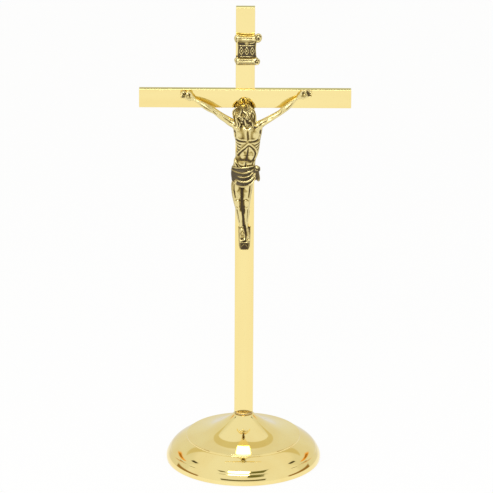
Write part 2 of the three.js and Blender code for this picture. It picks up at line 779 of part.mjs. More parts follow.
function toeForms() {
  const upper = [-2.1, -0.9, 0.1, 1.0, 1.8].map((over, i) => limb([
    [-1.4 + over, -9.8, -120.2 + 0.12 * i, 0.75 - 0.06 * i, 0.8],
    [-1.3 + over, -11.4, -123.2 + 0.35 * i, 0.7 - 0.06 * i, 0.7],
  ], 5, 4));
  const lower = [2.5, 3.6].map((over) => limb([
    [over, -7.6, -121.4, 0.75, 0.75],
    [over + 0.1, -8.8, -124.0, 0.7, 0.65],
  ], 5, 4));
  return [...upper, ...lower];
}

function drawnPalm(palm) {
  return { x: palm.x / figureScale, z: palm.z / figureScale };
}

function makeCorpus() {
  const forms = [
    limb(torso, 14, 12),
    limb(leftArm, 8, 11),
    limb(rightArm, 8, 11),
    limb(leftLeg, 8, 11),
    limb(rightLeg, 8, 11),
    limb(upperFoot, 8, 6),
    limb(lowerFoot, 8, 6),
    limb([[0.2, -8.0, -19.0, 4.4, 4.2], [-0.4, -9.4, -14.0, 4.0, 4.0], [-0.8, -10.8, -9.0, 3.8, 3.8]], 8, 4),
    ...makeHand(drawnPalm(leftPalm)),
    ...makeHand(drawnPalm(rightPalm)),
    ...headForms().map(bow),
    ...wreathForms().map(bow),
    ...hairLocks(),
    ...loinclothForms(),
    ...chestForms(),
    ...toeForms(),
  ].map((form) => form.scale(figureScale, figureScale, figureScale));
  const pinBores = [leftPalm, rightPalm].map((palm) =>
    rodY(pinRadius + holeClearance, -palmFront - 3, 3, palm.x, palm.z, 10));
  const headRooms = [leftPalm, rightPalm].map((palm) =>
    rodY(pinHeadRadius + holeClearance, -palmFront - 4, -palmFront + holeClearance, palm.x, palm.z, 12));
  const footBore = rodY(pinRadius + holeClearance, -footPinFront - 4, 3, footPinX, footPinZ, 10);
  const footRoom = rodY(
    pinHeadRadius + holeClearance, -footPinFront - 4, -footPinFront + holeClearance, footPinX, footPinZ, 12);
  return cut(join(forms), [...pinBores, ...headRooms, footBore, footRoom]);
}

function makeFootrest() {
  const back = crossbarProud;
  const front = -footrestFront;
  const form = new THREE.BoxGeometry(1, 1, 1);
  const place = form.attributes.position;
  for (let i = 0; i < place.count; i += 1) {
    const atBack = place.getY(i) > 0;
    const atTop = place.getZ(i) > 0;
    const width = (atBack ? footrestWidth : footrestFrontWidth) * (atTop ? 1 : footrestNarrowing);
    const height = -(atBack ? footrestTopDrop : footrestFrontDrop);
    place.setXYZ(i, place.getX(i) * width, atBack ? back : front, atTop ? height : -footrestBottomDrop);
  }
  const bore = rodY(pinRadius + holeClearance, front - 5, back + 1, footPinX, footPinZ, 10);
  return cut(solid(form), [bore]);
}

// Assembly

const figure = new THREE.Group();
figure.position.set(0, crossbarFront, crossbarHeight);
figure.add(
  makeMesh('corpus', makeCorpus(), antiqueBrass),
  makeMesh('footrest', makeFootrest(), antiqueBrass),
  makeMesh('hand_pin_left', makePin(leftPalm.x, -palmFront, 0, leftPalm.z), antiqueBrass),
  makeMesh('hand_pin_right', makePin(rightPalm.x, -palmFront, 0, rightPalm.z), antiqueBrass),
  makeMesh('foot_pin', makePin(footPinX, -footPinFront, crossbarProud, footPinZ), antiqueBrass),
);

const [upperScrew, lowerScrew] = screwHeights();

const standingCross = new THREE.Group();
standingCross.add(
  makeMesh('base_shell', makeBaseShell(), polishedBrass),
  makeMesh('base_weight', makeBaseWeight(), castIron),
  makeMesh('base_plate', makeBasePlate(), zincSteel),
  makeMesh('felt_pad', makeFeltPad(), darkFelt),
  makeMesh('foot_collar', makeFootCollar(), polishedBrass),
  makeMesh('foot_stud', makeFootStud(), zincSteel),
  makeMesh('clamp_washer', makeClampWasher(), zincSteel),
  makeMesh('clamp_nut', makeClampNut(), zincSteel),
  makeMesh('upright_bar', makeUprightBar(), polishedBrass),
  makeMesh('crossbar', makeCrossbar(), polishedBrass),
  makeMesh('crossing_screw_upper', makeCrossingScrew(upperScrew), zincSteel),
  makeMesh('crossing_screw_lower', makeCrossingScrew(lowerScrew), zincSteel),
  makeMesh('title_scroll', makeTitleScroll(), antiqueBrass),
  makeMesh('scroll_pin', makePin(scrollOffset, bossFace, uprightFront, scrollPinHeight()), antiqueBrass),
  figure,
);

export default standingCross;
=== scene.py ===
import math

import bmesh
import bpy
import numpy as np
from mathutils import Matrix, Vector, geometry, noise


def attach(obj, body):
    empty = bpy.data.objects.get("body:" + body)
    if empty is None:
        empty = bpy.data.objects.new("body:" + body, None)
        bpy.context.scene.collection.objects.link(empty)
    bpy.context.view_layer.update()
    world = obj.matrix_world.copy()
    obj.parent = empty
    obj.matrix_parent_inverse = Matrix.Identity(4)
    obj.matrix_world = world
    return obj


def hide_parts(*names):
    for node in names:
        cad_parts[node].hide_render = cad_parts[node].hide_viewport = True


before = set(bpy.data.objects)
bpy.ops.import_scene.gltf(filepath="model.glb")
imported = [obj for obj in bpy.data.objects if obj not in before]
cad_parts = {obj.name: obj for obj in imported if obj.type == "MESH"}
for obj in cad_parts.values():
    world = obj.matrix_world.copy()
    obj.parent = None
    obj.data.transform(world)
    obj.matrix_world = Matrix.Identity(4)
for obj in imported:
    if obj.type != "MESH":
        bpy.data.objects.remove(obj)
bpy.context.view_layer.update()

# Standing cross. The base, bars and fittings are drawn in metres. The figure and the scroll
# are shaped in millimetres and put in place with fitTo().

mm = 0.001
scene = bpy.context.scene


# Small helpers

def between(stations, share):
    # a smooth value between stations, share running from 0 to 1
    spot = max(0.0, min(0.99999, share)) * (len(stations) - 1)
    i = int(spot)
    t = spot - i
    a = stations[max(i - 1, 0)]
    b = stations[i]
    c = stations[i + 1]
    d = stations[min(i + 2, len(stations) - 1)]
    return [
        0.5 * (2 * q + (r - p) * t + (2 * p - 5 * q + 4 * r - s) * t * t + (3 * q - p - 3 * r + s) * t ** 3)
        for p, q, r, s in zip(a, b, c, d)
    ]


def bend(start, pullA, pullB, end, count):
    # points on a drawn curve, for turned outlines
    points = geometry.interpolate_bezier(
        Vector((*start, 0)), Vector((*pullA, 0)), Vector((*pullB, 0)), Vector((*end, 0)), count)
    return [(p.x, p.y) for p in points]


def addLimb(bm, stations, around=14, along=24, facing=(0, -1, 0)):
    # a round-ended form along stations of x, y, z, half width and half depth
    made = bmesh.ops.create_uvsphere(bm, u_segments=around, v_segments=along, radius=1)
    front = Vector(facing)
    rings = {}
    for vert in made["verts"]:
        ring = round(math.acos(max(-1, min(1, vert.co.z))) / math.pi, 5)
        if ring not in rings:
            x, y, z, wide, deep = between(stations, ring)
            run = Vector(between(stations, ring + 0.01)[:3]) - Vector(between(stations, ring - 0.01)[:3])
            run.normalize()
            across = run.cross(front).normalized()
            rings[ring] = (Vector((x, y, z)), across * wide, across.cross(run).normalized() * deep)
        swell = math.sin(math.pi * ring)
        share = min(1, math.sqrt(swell * 1.6)) / swell if swell > 1e-4 else 0
        centre, across, outward = rings[ring]
        vert.co = centre + across * (vert.co.x * share) + outward * (vert.co.y * share)
    return made["verts"]


def addBall(bm, centre, size, around=20, along=14, lean=0.0):
    made = bmesh.ops.create_uvsphere(bm, u_segments=around, v_segments=along, radius=1)
    bmesh.ops.scale(bm, vec=size, verts=made["verts"])
    bmesh.ops.rotate(bm, cent=(0, 0, 0), matrix=Matrix.Rotation(lean, 3, "Y"), verts=made["verts"])
    bmesh.ops.translate(bm, vec=centre, verts=made["verts"])
    return made["verts"]


def linkMesh(name, mesh):
    piece = bpy.data.objects.new(name, mesh)
    scene.collection.objects.link(piece)
    return piece


def meshFrom(bm, name):
    mesh = bpy.data.meshes.new(name)
    bm.to_mesh(mesh)
    bm.free()
    return mesh


def applied(piece):
    # the piece's mesh with its modifiers worked in
    return bpy.data.meshes.new_from_object(piece.evaluated_get(bpy.context.evaluated_depsgraph_get()))


def pick(items, kind):
    return [item for item in items if isinstance(item, kind)]


def roundEdges(bm, offset):
    bmesh.ops.bevel(
        bm, geom=list(bm.edges), offset=offset, offset_type="OFFSET", segments=3, profile=0.5,
        affect="EDGES", material=-1, clamp_overlap=True)


def settle(piece, node, material, sharp=35):
    # the piece rides on the body, stands for its CAD node and gets its finish
    piece.data.materials.clear()
    piece.data.materials.append(material)
    piece.data.shade_smooth()
    if sharp:
        piece.data.set_sharp_from_angle(angle=math.radians(sharp))
    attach(piece, "root")
    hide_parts(node)
    return piece


def keepFlats(piece):
    # broad flat faces keep their own shading beside narrow rounded edges
    weigh = piece.modifiers.new("flats", "WEIGHTED_NORMAL")
    weigh.keep_sharp = True
    weigh.weight = 100


# Materials

def newMaterial(name):
    material = bpy.data.materials.new(name)
    material.use_nodes = True
    return material, material.node_tree, material.node_tree.nodes["Principled BSDF"]


def addNode(tree, kind, settings=None, inputs=None):
    node = tree.nodes.new(kind)
    for key, value in (settings or {}).items():
        setattr(node, key, value)
    for key, value in (inputs or {}).items():
        if isinstance(value, bpy.types.NodeSocket):
            tree.links.new(value, node.inputs[key])
        else:
            node.inputs[key].default_value = value
    return node


def objectSpot(tree, scale=(1, 1, 1), turn=(0, 0, 0), centre=(0, 0, 0)):
    source = addNode(tree, "ShaderNodeTexCoord")
    place = addNode(tree, "ShaderNodeMapping", inputs={
        "Vector": source.outputs["Object"], "Scale": scale, "Rotation": turn, "Location": centre})
    return place.outputs["Vector"]


def spread(tree, value, fromLow, fromHigh, toLow, toHigh):
    node = addNode(tree, "ShaderNodeMapRange", {"interpolation_type": "SMOOTHSTEP"}, {
        "Value": value, "From Min": fromLow, "From Max": fromHigh, "To Min": toLow, "To Max": toHigh})
    return node.outputs["Result"]


def blendColours(tree, factor, first, second, mode="MIX"):
    node = addNode(tree, "ShaderNodeMix", {"data_type": "RGBA", "blend_type": mode})
    for socket, value in ((node.inputs[0], factor), (node.inputs[6], first), (node.inputs[7], second)):
        if isinstance(value, bpy.types.NodeSocket):
            tree.links.new(value, socket)
        else:
            socket.default_value = value
    return node.outputs[2]


def addNoise(tree, spot, scale, detail=4, roughness=0.5):
    node = addNode(tree, "ShaderNodeTexNoise", {}, {
        "Vector": spot, "Scale": scale, "Detail": detail, "Roughness": roughness})
    return node.outputs["Fac"]


def addMath(tree, operation, *values):
    return addNode(tree, "ShaderNodeMath", {"operation": operation}, dict(enumerate(values))).outputs[0]


def addBump(tree, shader, height, strength, distance):
    bump = addNode(tree, "ShaderNodeBump", {}, {"Strength": strength, "Distance": distance, "Height": height})
    tree.links.new(bump.outputs["Normal"], shader.inputs["Normal"])
    return bump


brassLook = {
    "bright": (0.957, 0.800, 0.358, 1),
    "deep": (0.925, 0.735, 0.300, 1),
    "tarnish": (0.80, 0.56, 0.20, 1),
    "browned": (0.30, 0.17, 0.07, 1),
    "polish": 0.035,
    "haze": 0.11,
    "waviness": 0.000012,
}


def polishedBrass(name, grain, rings=False, dulled=0.0):
    # mirror-polished and lacquered: faint colour drift, buffing marks and a hair of waviness
    material, tree, shader = newMaterial(name)
    drift = addNoise(tree, objectSpot(tree, grain), 34, 3)
    colour = blendColours(tree, spread(tree, drift, 0.35, 0.7, 0, 1), brassLook["bright"], brassLook["deep"])
    if dulled:
        colour = blendColours(tree, dulled, colour, brassLook["browned"])
    spots = addNoise(tree, objectSpot(tree), 210, 6, 0.62)
    colour = blendColours(tree, spread(tree, spots, 0.66, 0.80, 0, 0.35), colour, brassLook["tarnish"])
    tree.links.new(colour, shader.inputs["Base Color"])
    buffing = addNoise(tree, objectSpot(tree, [g * 14 for g in grain]), 60, 5, 0.6)
    tree.links.new(
        spread(tree, buffing, 0.42, 0.78, brassLook["polish"], brassLook["haze"]), shader.inputs["Roughness"])
    wave = addNoise(tree, objectSpot(tree, grain), 22, 1)
    height = addBump(tree, shader, wave, 1, brassLook["waviness"])
    if rings:
        spun = addNode(tree, "ShaderNodeTexWave", {"wave_type": "RINGS", "rings_direction": "Z"}, {
            "Vector": objectSpot(tree), "Scale": 420, "Distortion": 0.4, "Detail": 2})
        ridges = addBump(tree, shader, spun.outputs["Fac"], 0.35, 0.000002)
        tree.links.new(height.outputs["Normal"], ridges.inputs["Normal"])
    shader.inputs["Metallic"].default_value = 1
    shader.inputs["Coat Weight"].default_value = 0.25
    shader.inputs["Coat Roughness"].default_value = 0.03
    return material


antiqueLook = {
    "crest": (0.84, 0.71, 0.34, 1),
    "body": (0.49, 0.375, 0.128, 1),
    "shade": (0.22, 0.155, 0.045, 1),
    "hollow": (0.055, 0.032, 0.008, 1),
    "greyed": (0.34, 0.31, 0.21, 1),
    "stops": (-0.34, 0.02, 0.28, 0.62),  # how deep a point lies where each colour is full
    "mottle": 900,
    "patches": (0.5, 0.6),  # how much the fine and the broad mottle change that depth
}


def antiqueBrass(name, dark=0.0, pale=0.0):
    # cast brass dipped dark and wiped back: black in the hollows, bright on the crests
    material, tree, shader = newMaterial(name)
    depth = addNode(tree, "ShaderNodeAttribute", {"attribute_name": "recess"}).outputs["Fac"]
    mottle = addNoise(tree, objectSpot(tree), antiqueLook["mottle"], 5, 0.6)
    cloud = addNoise(tree, objectSpot(tree), 130, 3, 0.5)
    fine, broad = antiqueLook["patches"]
    depth = addMath(tree, "MULTIPLY_ADD", mottle, fine, depth)
    depth = addMath(tree, "MULTIPLY_ADD", cloud, broad, depth)
    depth = addMath(tree, "ADD", depth, dark - (fine + broad) / 2)
    crest, body, shade, hollow = antiqueLook["stops"]
    colour = blendColours(
        tree, spread(tree, depth, crest, body, 0, 1), antiqueLook["crest"], antiqueLook["body"])
    colour = blendColours(tree, spread(tree, depth, body, shade, 0, 1), colour, antiqueLook["shade"])
    black = spread(tree, depth, shade, hollow, 0, 1)
    colour = blendColours(tree, black, colour, antiqueLook["hollow"])
    if pale:
        colour = blendColours(tree, pale, colour, antiqueLook["greyed"])
    tree.links.new(colour, shader.inputs["Base Color"])
    tree.links.new(spread(tree, depth, crest, shade, 0.25, 0.55), shader.inputs["Roughness"])
    tree.links.new(spread(tree, black, 0.2, 1, 1, 0.3), shader.inputs["Metallic"])
    grit = addNoise(tree, objectSpot(tree), 2600, 4, 0.7)
    addBump(tree, shader, grit, 0.6, 0.00006)
    return material


def zincSteel(name):
    material, tree, shader = newMaterial(name)
    bloom = addNoise(tree, objectSpot(tree), 700, 5, 0.6)
    colour = blendColours(tree, bloom, (0.50, 0.51, 0.52, 1), (0.66, 0.66, 0.62, 1))
    tree.links.new(colour, shader.inputs["Base Color"])
    tree.links.new(spread(tree, bloom, 0.3, 0.7, 0.28, 0.5), shader.inputs["Roughness"])
    addBump(tree, shader, bloom, 0.4, 0.00002)
    shader.inputs["Metallic"].default_value = 1
    return material


def castIron(name):
    material, tree, shader = newMaterial(name)
    sand = addNoise(tree, objectSpot(tree), 1100, 8, 0.7)
    rust = addNoise(tree, objectSpot(tree), 60, 5, 0.6)
    rusted = spread(tree, rust, 0.5, 0.75, 0, 0.6)
    colour = blendColours(tree, rusted, (0.05, 0.05, 0.052, 1), (0.16, 0.07, 0.03, 1))
    tree.links.new(colour, shader.inputs["Base Color"])
    tree.links.new(spread(tree, sand, 0.3, 0.7, 0.55, 0.85), shader.inputs["Roughness"])
    addBump(tree, shader, sand, 0.8, 0.0002)
    shader.inputs["Metallic"].default_value = 0.6
    return material


def greenFelt(name):
    material, tree, shader = newMaterial(name)
    fibres = addNoise(tree, objectSpot(tree, (1, 1, 0.2)), 1500, 8, 0.75)
    wear = addNoise(tree, objectSpot(tree), 45, 3)
    colour = blendColours(tree, fibres, (0.010, 0.040, 0.020, 1), (0.035, 0.110, 0.060, 1))
    colour = blendColours(tree, spread(tree, wear, 0.5, 0.75, 0, 0.4), colour, (0.06, 0.12, 0.08, 1))
    tree.links.new(colour, shader.inputs["Base Color"])
    addBump(tree, shader, fibres, 0.9, 0.0004)
    shader.inputs["Roughness"].default_value = 0.95
    shader.inputs["Sheen Weight"].default_value = 0.4
    return material


spunBrass = polishedBrass("spunBrass", (1, 1, 1), rings=True)
collarBrass = polishedBrass("collarBrass", (1, 1, 1), dulled=0.62)
barBrass = polishedBrass("barBrass", (1, 1, 0.12))
crossbarBrass = polishedBrass("crossbarBrass", (0.12, 1, 1))
figureBrass = antiqueBrass("figureBrass", dark=0.15)
headBrass = antiqueBrass("headBrass", dark=0.54)
footBrass = antiqueBrass("footBrass", dark=0.80)
clothBrass = antiqueBrass("clothBrass", dark=1.04, pale=0.12)
scrollBrass = antiqueBrass("scrollBrass", dark=0.26, pale=0.08)
steel = zincSteel("zincSteel")
iron = castIron("castIron")
felt = greenFelt("greenFelt")
print("materials made")


# Camera, at the photograph's height and distance

view = {"distance": 3.5, "height": 19.7, "aim": (0.0018, 0, 0.1936), "lens": 300.4, "roll": 0.30}

cameraData = bpy.data.cameras.new("camera")
cameraData.lens = view["lens"]
cameraData.sensor_width = 36
cameraData.clip_end = 30
camera = bpy.data.objects.new("camera", cameraData)
scene.collection.objects.link(camera)
lift = math.radians(view["height"])
camera.matrix_world = (
    Matrix.Translation(Vector(view["aim"]) + view["distance"] * Vector((0, -math.cos(lift), math.sin(lift))))
    @ Matrix.Rotation(math.pi / 2 - lift, 4, "X")
    @ Matrix.Rotation(math.radians(view["roll"]), 4, "Z")
)
scene.camera = camera


# Spun base: a rim with a rounded shoulder, a big moulding, a small step, a skirt and a cone

base = {
    "steps": 192,
    "wall": 1.2,
    "slant": 0.8,  # how much of the wall the dome's inner side moves in and down
    "rimHeight": 4,
    "rim": [(66.1, 0.5), (66.4, 0.7), (66.5, 1.1)],
    "shoulder": ((66.5, 2.9), (66.5, 5.3), (64.3, 8.3), (63.7, 9.4)),
    "crease": [(63.52, 9.62), (63.36, 9.74), (63.26, 9.86)],
    "bead": ((63.2, 10.0), (61.5, 13.6), (55.2, 17.7), (49.5, 20.15)),
    "step": [(49.26, 20.22), (49.12, 20.32), (49.06, 20.5), (48.98, 21.6), (48.88, 21.78), (48.76, 21.85)],
    "skirt": ((48.6, 21.88), (47.0, 22.1), (35.35, 23.73), (28.72, 27.08)),
    "cone": ((28.72, 27.08), (27.2, 27.85), (16.9, 33.24), (8.5, 41.2)),
    "land": [(8.3, 41.34), (8, 41.4), (2.3, 41.4)],
    "underLand": [(6.9, 40.2), (2.3, 40.2)],
}


def baseOutline():
    outline = base["rim"] + bend(*base["shoulder"], 12)
    outline += base["crease"] + bend(*base["bead"], 26)
    outline += base["step"] + bend(*base["skirt"], 18) + bend(*base["cone"], 20)[1:]
    return outline + base["land"]


def spinOutline(outline, steps):
    bm = bmesh.new()
    verts = [bm.verts.new((radius * mm, 0, height * mm)) for radius, height in outline]
    edges = [bm.edges.new(pair) for pair in zip(verts, verts[1:])]
    bmesh.ops.spin(
        bm, geom=verts + edges, cent=(0, 0, 0), axis=(0, 0, 1), angle=2 * math.pi, steps=steps,
        use_merge=True)
    bmesh.ops.remove_doubles(bm, verts=bm.verts, dist=1e-7)
    bmesh.ops.recalc_face_normals(bm, faces=bm.faces)
    return bm


def makeBaseShell():
    outer = baseOutline()
    wall = base["wall"]
    inward = wall * base["slant"]
    inner = [(r - wall, h) for r, h in outer if h < base["rimHeight"]]
    inner += [(r - inward, h - inward) for r, h in outer[8:-3:2]] + base["underLand"]
    outline = outer + inner[::-1] + outer[:1]
    bm = spinOutline(outline, base["steps"])
    settle(linkMesh("spunBase", meshFrom(bm, "spunBase")), "base_shell", spunBrass, sharp=50)


collar = {
    "outline": [(2.3, 41.4), (7.3, 41.4), (7.55, 41.46), (7.72, 41.62), (7.8, 41.85), (7.8, 42.85),
                (7.7, 43.15), (7.45, 43.34), (7.1, 43.4), (2.3, 43.4), (2.3, 41.4)],
    "steps": 128,
}


def makeCollar():
    bm = spinOutline(collar["outline"], collar["steps"])
    settle(linkMesh("footCollar", meshFrom(bm, "footCollar")), "foot_collar", collarBrass, sharp=40)


underside = {
    "felt": [(0, 0), (60.8, 0), (61.5, 0.15), (61.9, 0.5), (62, 0.9), (61.9, 1.3), (61.6, 1.5), (0, 1.5)],
    "steps": 144,
}


def makeFelt():
    bm = spinOutline(underside["felt"], underside["steps"])
    pad = settle(linkMesh("feltPad", meshFrom(bm, "feltPad")), "felt_pad", felt, sharp=60)


makeBaseShell()
makeCollar()
makeFelt()
print("base made")


# Flat bars, notched into each other and fastened from behind

bars = {
    "upright": [(-3, 43.4), (3, 43.4), (3, 406), (-3, 406),
                (-3, 335.1), (-1, 335.1), (-1, 318.9), (-3, 318.9)],
    "crossbar": [(-89, -5), (89, -5), (89, 1), (8.1, 1), (8.1, -1), (-8.1, -1), (-8.1, 1), (-89, 1)],
    "width": 16,
    "crossbarFoot": 319,
    "edge": 0.28,
}


def makeBar(name, node, outline, place, run, material):
    bm = bmesh.new()
    face = bm.faces.new([bm.verts.new(place(a * mm, b * mm)) for a, b in outline])
    grown = bmesh.ops.extrude_face_region(bm, geom=[face])
    bmesh.ops.translate(bm, vec=run, verts=pick(grown["geom"], bmesh.types.BMVert))
    bmesh.ops.recalc_face_normals(bm, faces=bm.faces)
    roundEdges(bm, bars["edge"] * mm)
    keepFlats(settle(linkMesh(name, meshFrom(bm, name)), node, material, sharp=40))


barWidth = bars["width"] * mm
barFoot = bars["crossbarFoot"] * mm
makeBar(
    "uprightBar", "upright_bar", bars["upright"], lambda y, z: (-barWidth / 2, y, z), (barWidth, 0, 0),
    barBrass)
makeBar(
    "crossBar", "crossbar", bars["crossbar"], lambda x, y: (x, y, barFoot), (0, 0, barWidth),
    crossbarBrass)


# Screws behind the crossing, with a slot each

screws = {
    "heights": {"crossing_screw_upper": 331.5, "crossing_screw_lower": 322.5},
    "slotTurns": (0.4, -0.9),
    "shank": [(0, -3.8), (1.45, -3.6), (1.5, -3.4), (1.5, 1.4), (2.9, 2.85), (2.95, 2.97), (2.85, 3), (0, 3)],
    "steps": 48,
    "slot": (8, 0.8, 1.6),
    "slotHeight": 3.1,
}


def makeScrew(node, height, slotTurn):
    bm = spinOutline(screws["shank"], screws["steps"])
    head = linkMesh(node + "Head", meshFrom(bm, node))
    bm = bmesh.new()
    bmesh.ops.create_cube(bm, size=1)
    bmesh.ops.scale(bm, vec=[side * mm for side in screws["slot"]], verts=bm.verts)
    bmesh.ops.translate(bm, vec=(0, 0, screws["slotHeight"] * mm), verts=bm.verts)
    bmesh.ops.rotate(bm, cent=(0, 0, 0), matrix=Matrix.Rotation(slotTurn, 3, "Z"), verts=bm.verts)
    slot = linkMesh("slot", meshFrom(bm, "slot"))
    cut = head.modifiers.new("slot", "BOOLEAN")
    cut.object = slot
    cut.solver = "EXACT"
    made = applied(head)
    made.transform(Matrix.Translation((0, 0, height * mm)) @ Matrix.Rotation(-math.pi / 2, 4, "X"))
    bpy.data.objects.remove(head)
    bpy.data.objects.remove(slot)
    settle(linkMesh(node + "Head", made), node, steel, sharp=30)


for (node, height), slotTurn in zip(screws["heights"].items(), screws["slotTurns"]):
    makeScrew(node, height, slotTurn)
print("bars made")


# Sculpting: rounded forms are fused into one skin, softened, then worked with strokes

def fuse(bm, name, voxel, rounds):
    bmesh.ops.recalc_face_normals(bm, faces=bm.faces)
    rough = linkMesh(name, meshFrom(bm, name))
    skin = rough.modifiers.new("skin", "REMESH")
    skin.mode = "VOXEL"
    skin.voxel_size = voxel
    soften = rough.modifiers.new("soften", "SMOOTH")
    soften.factor = 0.5
    soften.iterations = rounds
    mesh = applied(rough)
    bpy.data.objects.remove(rough)
    return mesh


def readSpots(mesh, field="co"):
    values = np.empty(len(mesh.vertices) * 3, np.float32)
    mesh.vertices.foreach_get(field, values)
    return values.reshape(-1, 3).astype(np.float64)


def writeSpots(mesh, spots):
    mesh.vertices.foreach_set("co", spots.astype(np.float32).ravel())
    mesh.update()


def smoothPath(path, perLeg=6):
    if len(path) < 2:
        return np.array(path, float)
    count = (len(path) - 1) * perLeg
    return np.array([between(path, i / count) for i in range(count + 1)], float)


def press(mesh, strokes, facing=(0, -1, 0)):
    # each stroke is a path, a width and a height: above nought raises the skin, below it cuts in.
    # A path of x and z works on what faces forwards, a path of x, y and z on all that is near it.
    spots = readSpots(mesh)
    normals = readSpots(mesh, "normal")
    towards = normals @ np.array(facing, float)
    moved = np.zeros_like(spots)
    for path, width, height in strokes:
        line = smoothPath(path)
        flat = line.shape[1] == 2
        keys = spots[:, [0, 2]] if flat else spots
        near = np.all((keys > line.min(0) - width) & (keys < line.max(0) + width), axis=1)
        if flat:
            near &= towards > 0.05
        chosen = np.nonzero(near)[0]
        if not len(chosen):
            continue
        best = np.full(len(chosen), 1e9)
        where = np.zeros(len(chosen))
        if len(line) == 1:
            best = np.linalg.norm(keys[chosen] - line[0], axis=1)
            where[:] = 0.5
        for i, (start, end) in enumerate(zip(line, line[1:])):
            leg = end - start
            share = np.clip((keys[chosen] - start) @ leg / max(leg @ leg, 1e-9), 0, 1)
            gap = np.linalg.norm(keys[chosen] - start - share[:, None] * leg, axis=1)
            nearer = gap < best
            best[nearer] = gap[nearer]
            where[nearer] = (i + share[nearer]) / (len(line) - 1)
        fall = np.clip(1 - (best / width) ** 2, 0, 1) ** 2
        fall *= np.clip(np.sin(np.pi * (0.06 + 0.88 * where)), 0, 1) ** 0.5
        if flat:
            fall *= np.clip(towards[chosen] * 2.5, 0, 1)
        moved[chosen] += normals[chosen] * (height * fall)[:, None]
    writeSpots(mesh, spots + moved)


def neighbours(mesh):
    ends = np.empty(len(mesh.edges) * 2, np.int32)
    mesh.edges.foreach_get("vertices", ends)
    ends = ends.reshape(-1, 2)
    counts = np.bincount(ends.ravel(), minlength=len(mesh.vertices)).clip(1)
    return ends, counts[:, None]


def relax(values, ends, counts, rounds, factor=1.0):
    size = len(values)
    for _ in range(rounds):
        near = np.stack([
            np.bincount(ends[:, 0], values[ends[:, 1], axis], size)
            + np.bincount(ends[:, 1], values[ends[:, 0], axis], size)
            for axis in range(values.shape[1])], axis=1) / counts
        values = values + (near - values) * factor
    return values


def markRecesses(mesh, scales, darkening=0):
    # how far each point lies under the softened skin, kept for the dark dip in the material
    spots = readSpots(mesh)
    normals = readSpots(mesh, "normal")
    ends, counts = neighbours(mesh)
    depth = np.zeros(len(spots))
    soft = spots
    done = 0
    for rounds, full, weight in scales:
        soft = relax(soft, ends, counts, rounds - done)
        done = rounds
        depth += weight * np.clip(np.einsum("ij,ij->i", soft - spots, normals) / full, -1, 1)
    depth = relax(depth[:, None], ends, counts, 1)[:, 0]
    layer = mesh.attributes.new("recess", "FLOAT", "POINT")
    layer.data.foreach_set("value", (depth + darkening).astype(np.float32))


def fitTo(mesh, spot):
    mesh.transform(Matrix.Translation(Vector(spot) * mm) @ Matrix.Scale(mm, 4))


def finishCasting(mesh, name, node, material, scales, spot=(0, 0, 0), darkening=0):
    markRecesses(mesh, scales, darkening)
    fitTo(mesh, spot)
    settle(linkMesh(name, mesh), node, material, sharp=0)


# Figure, in millimetres from the crossing on the crossbar's front face

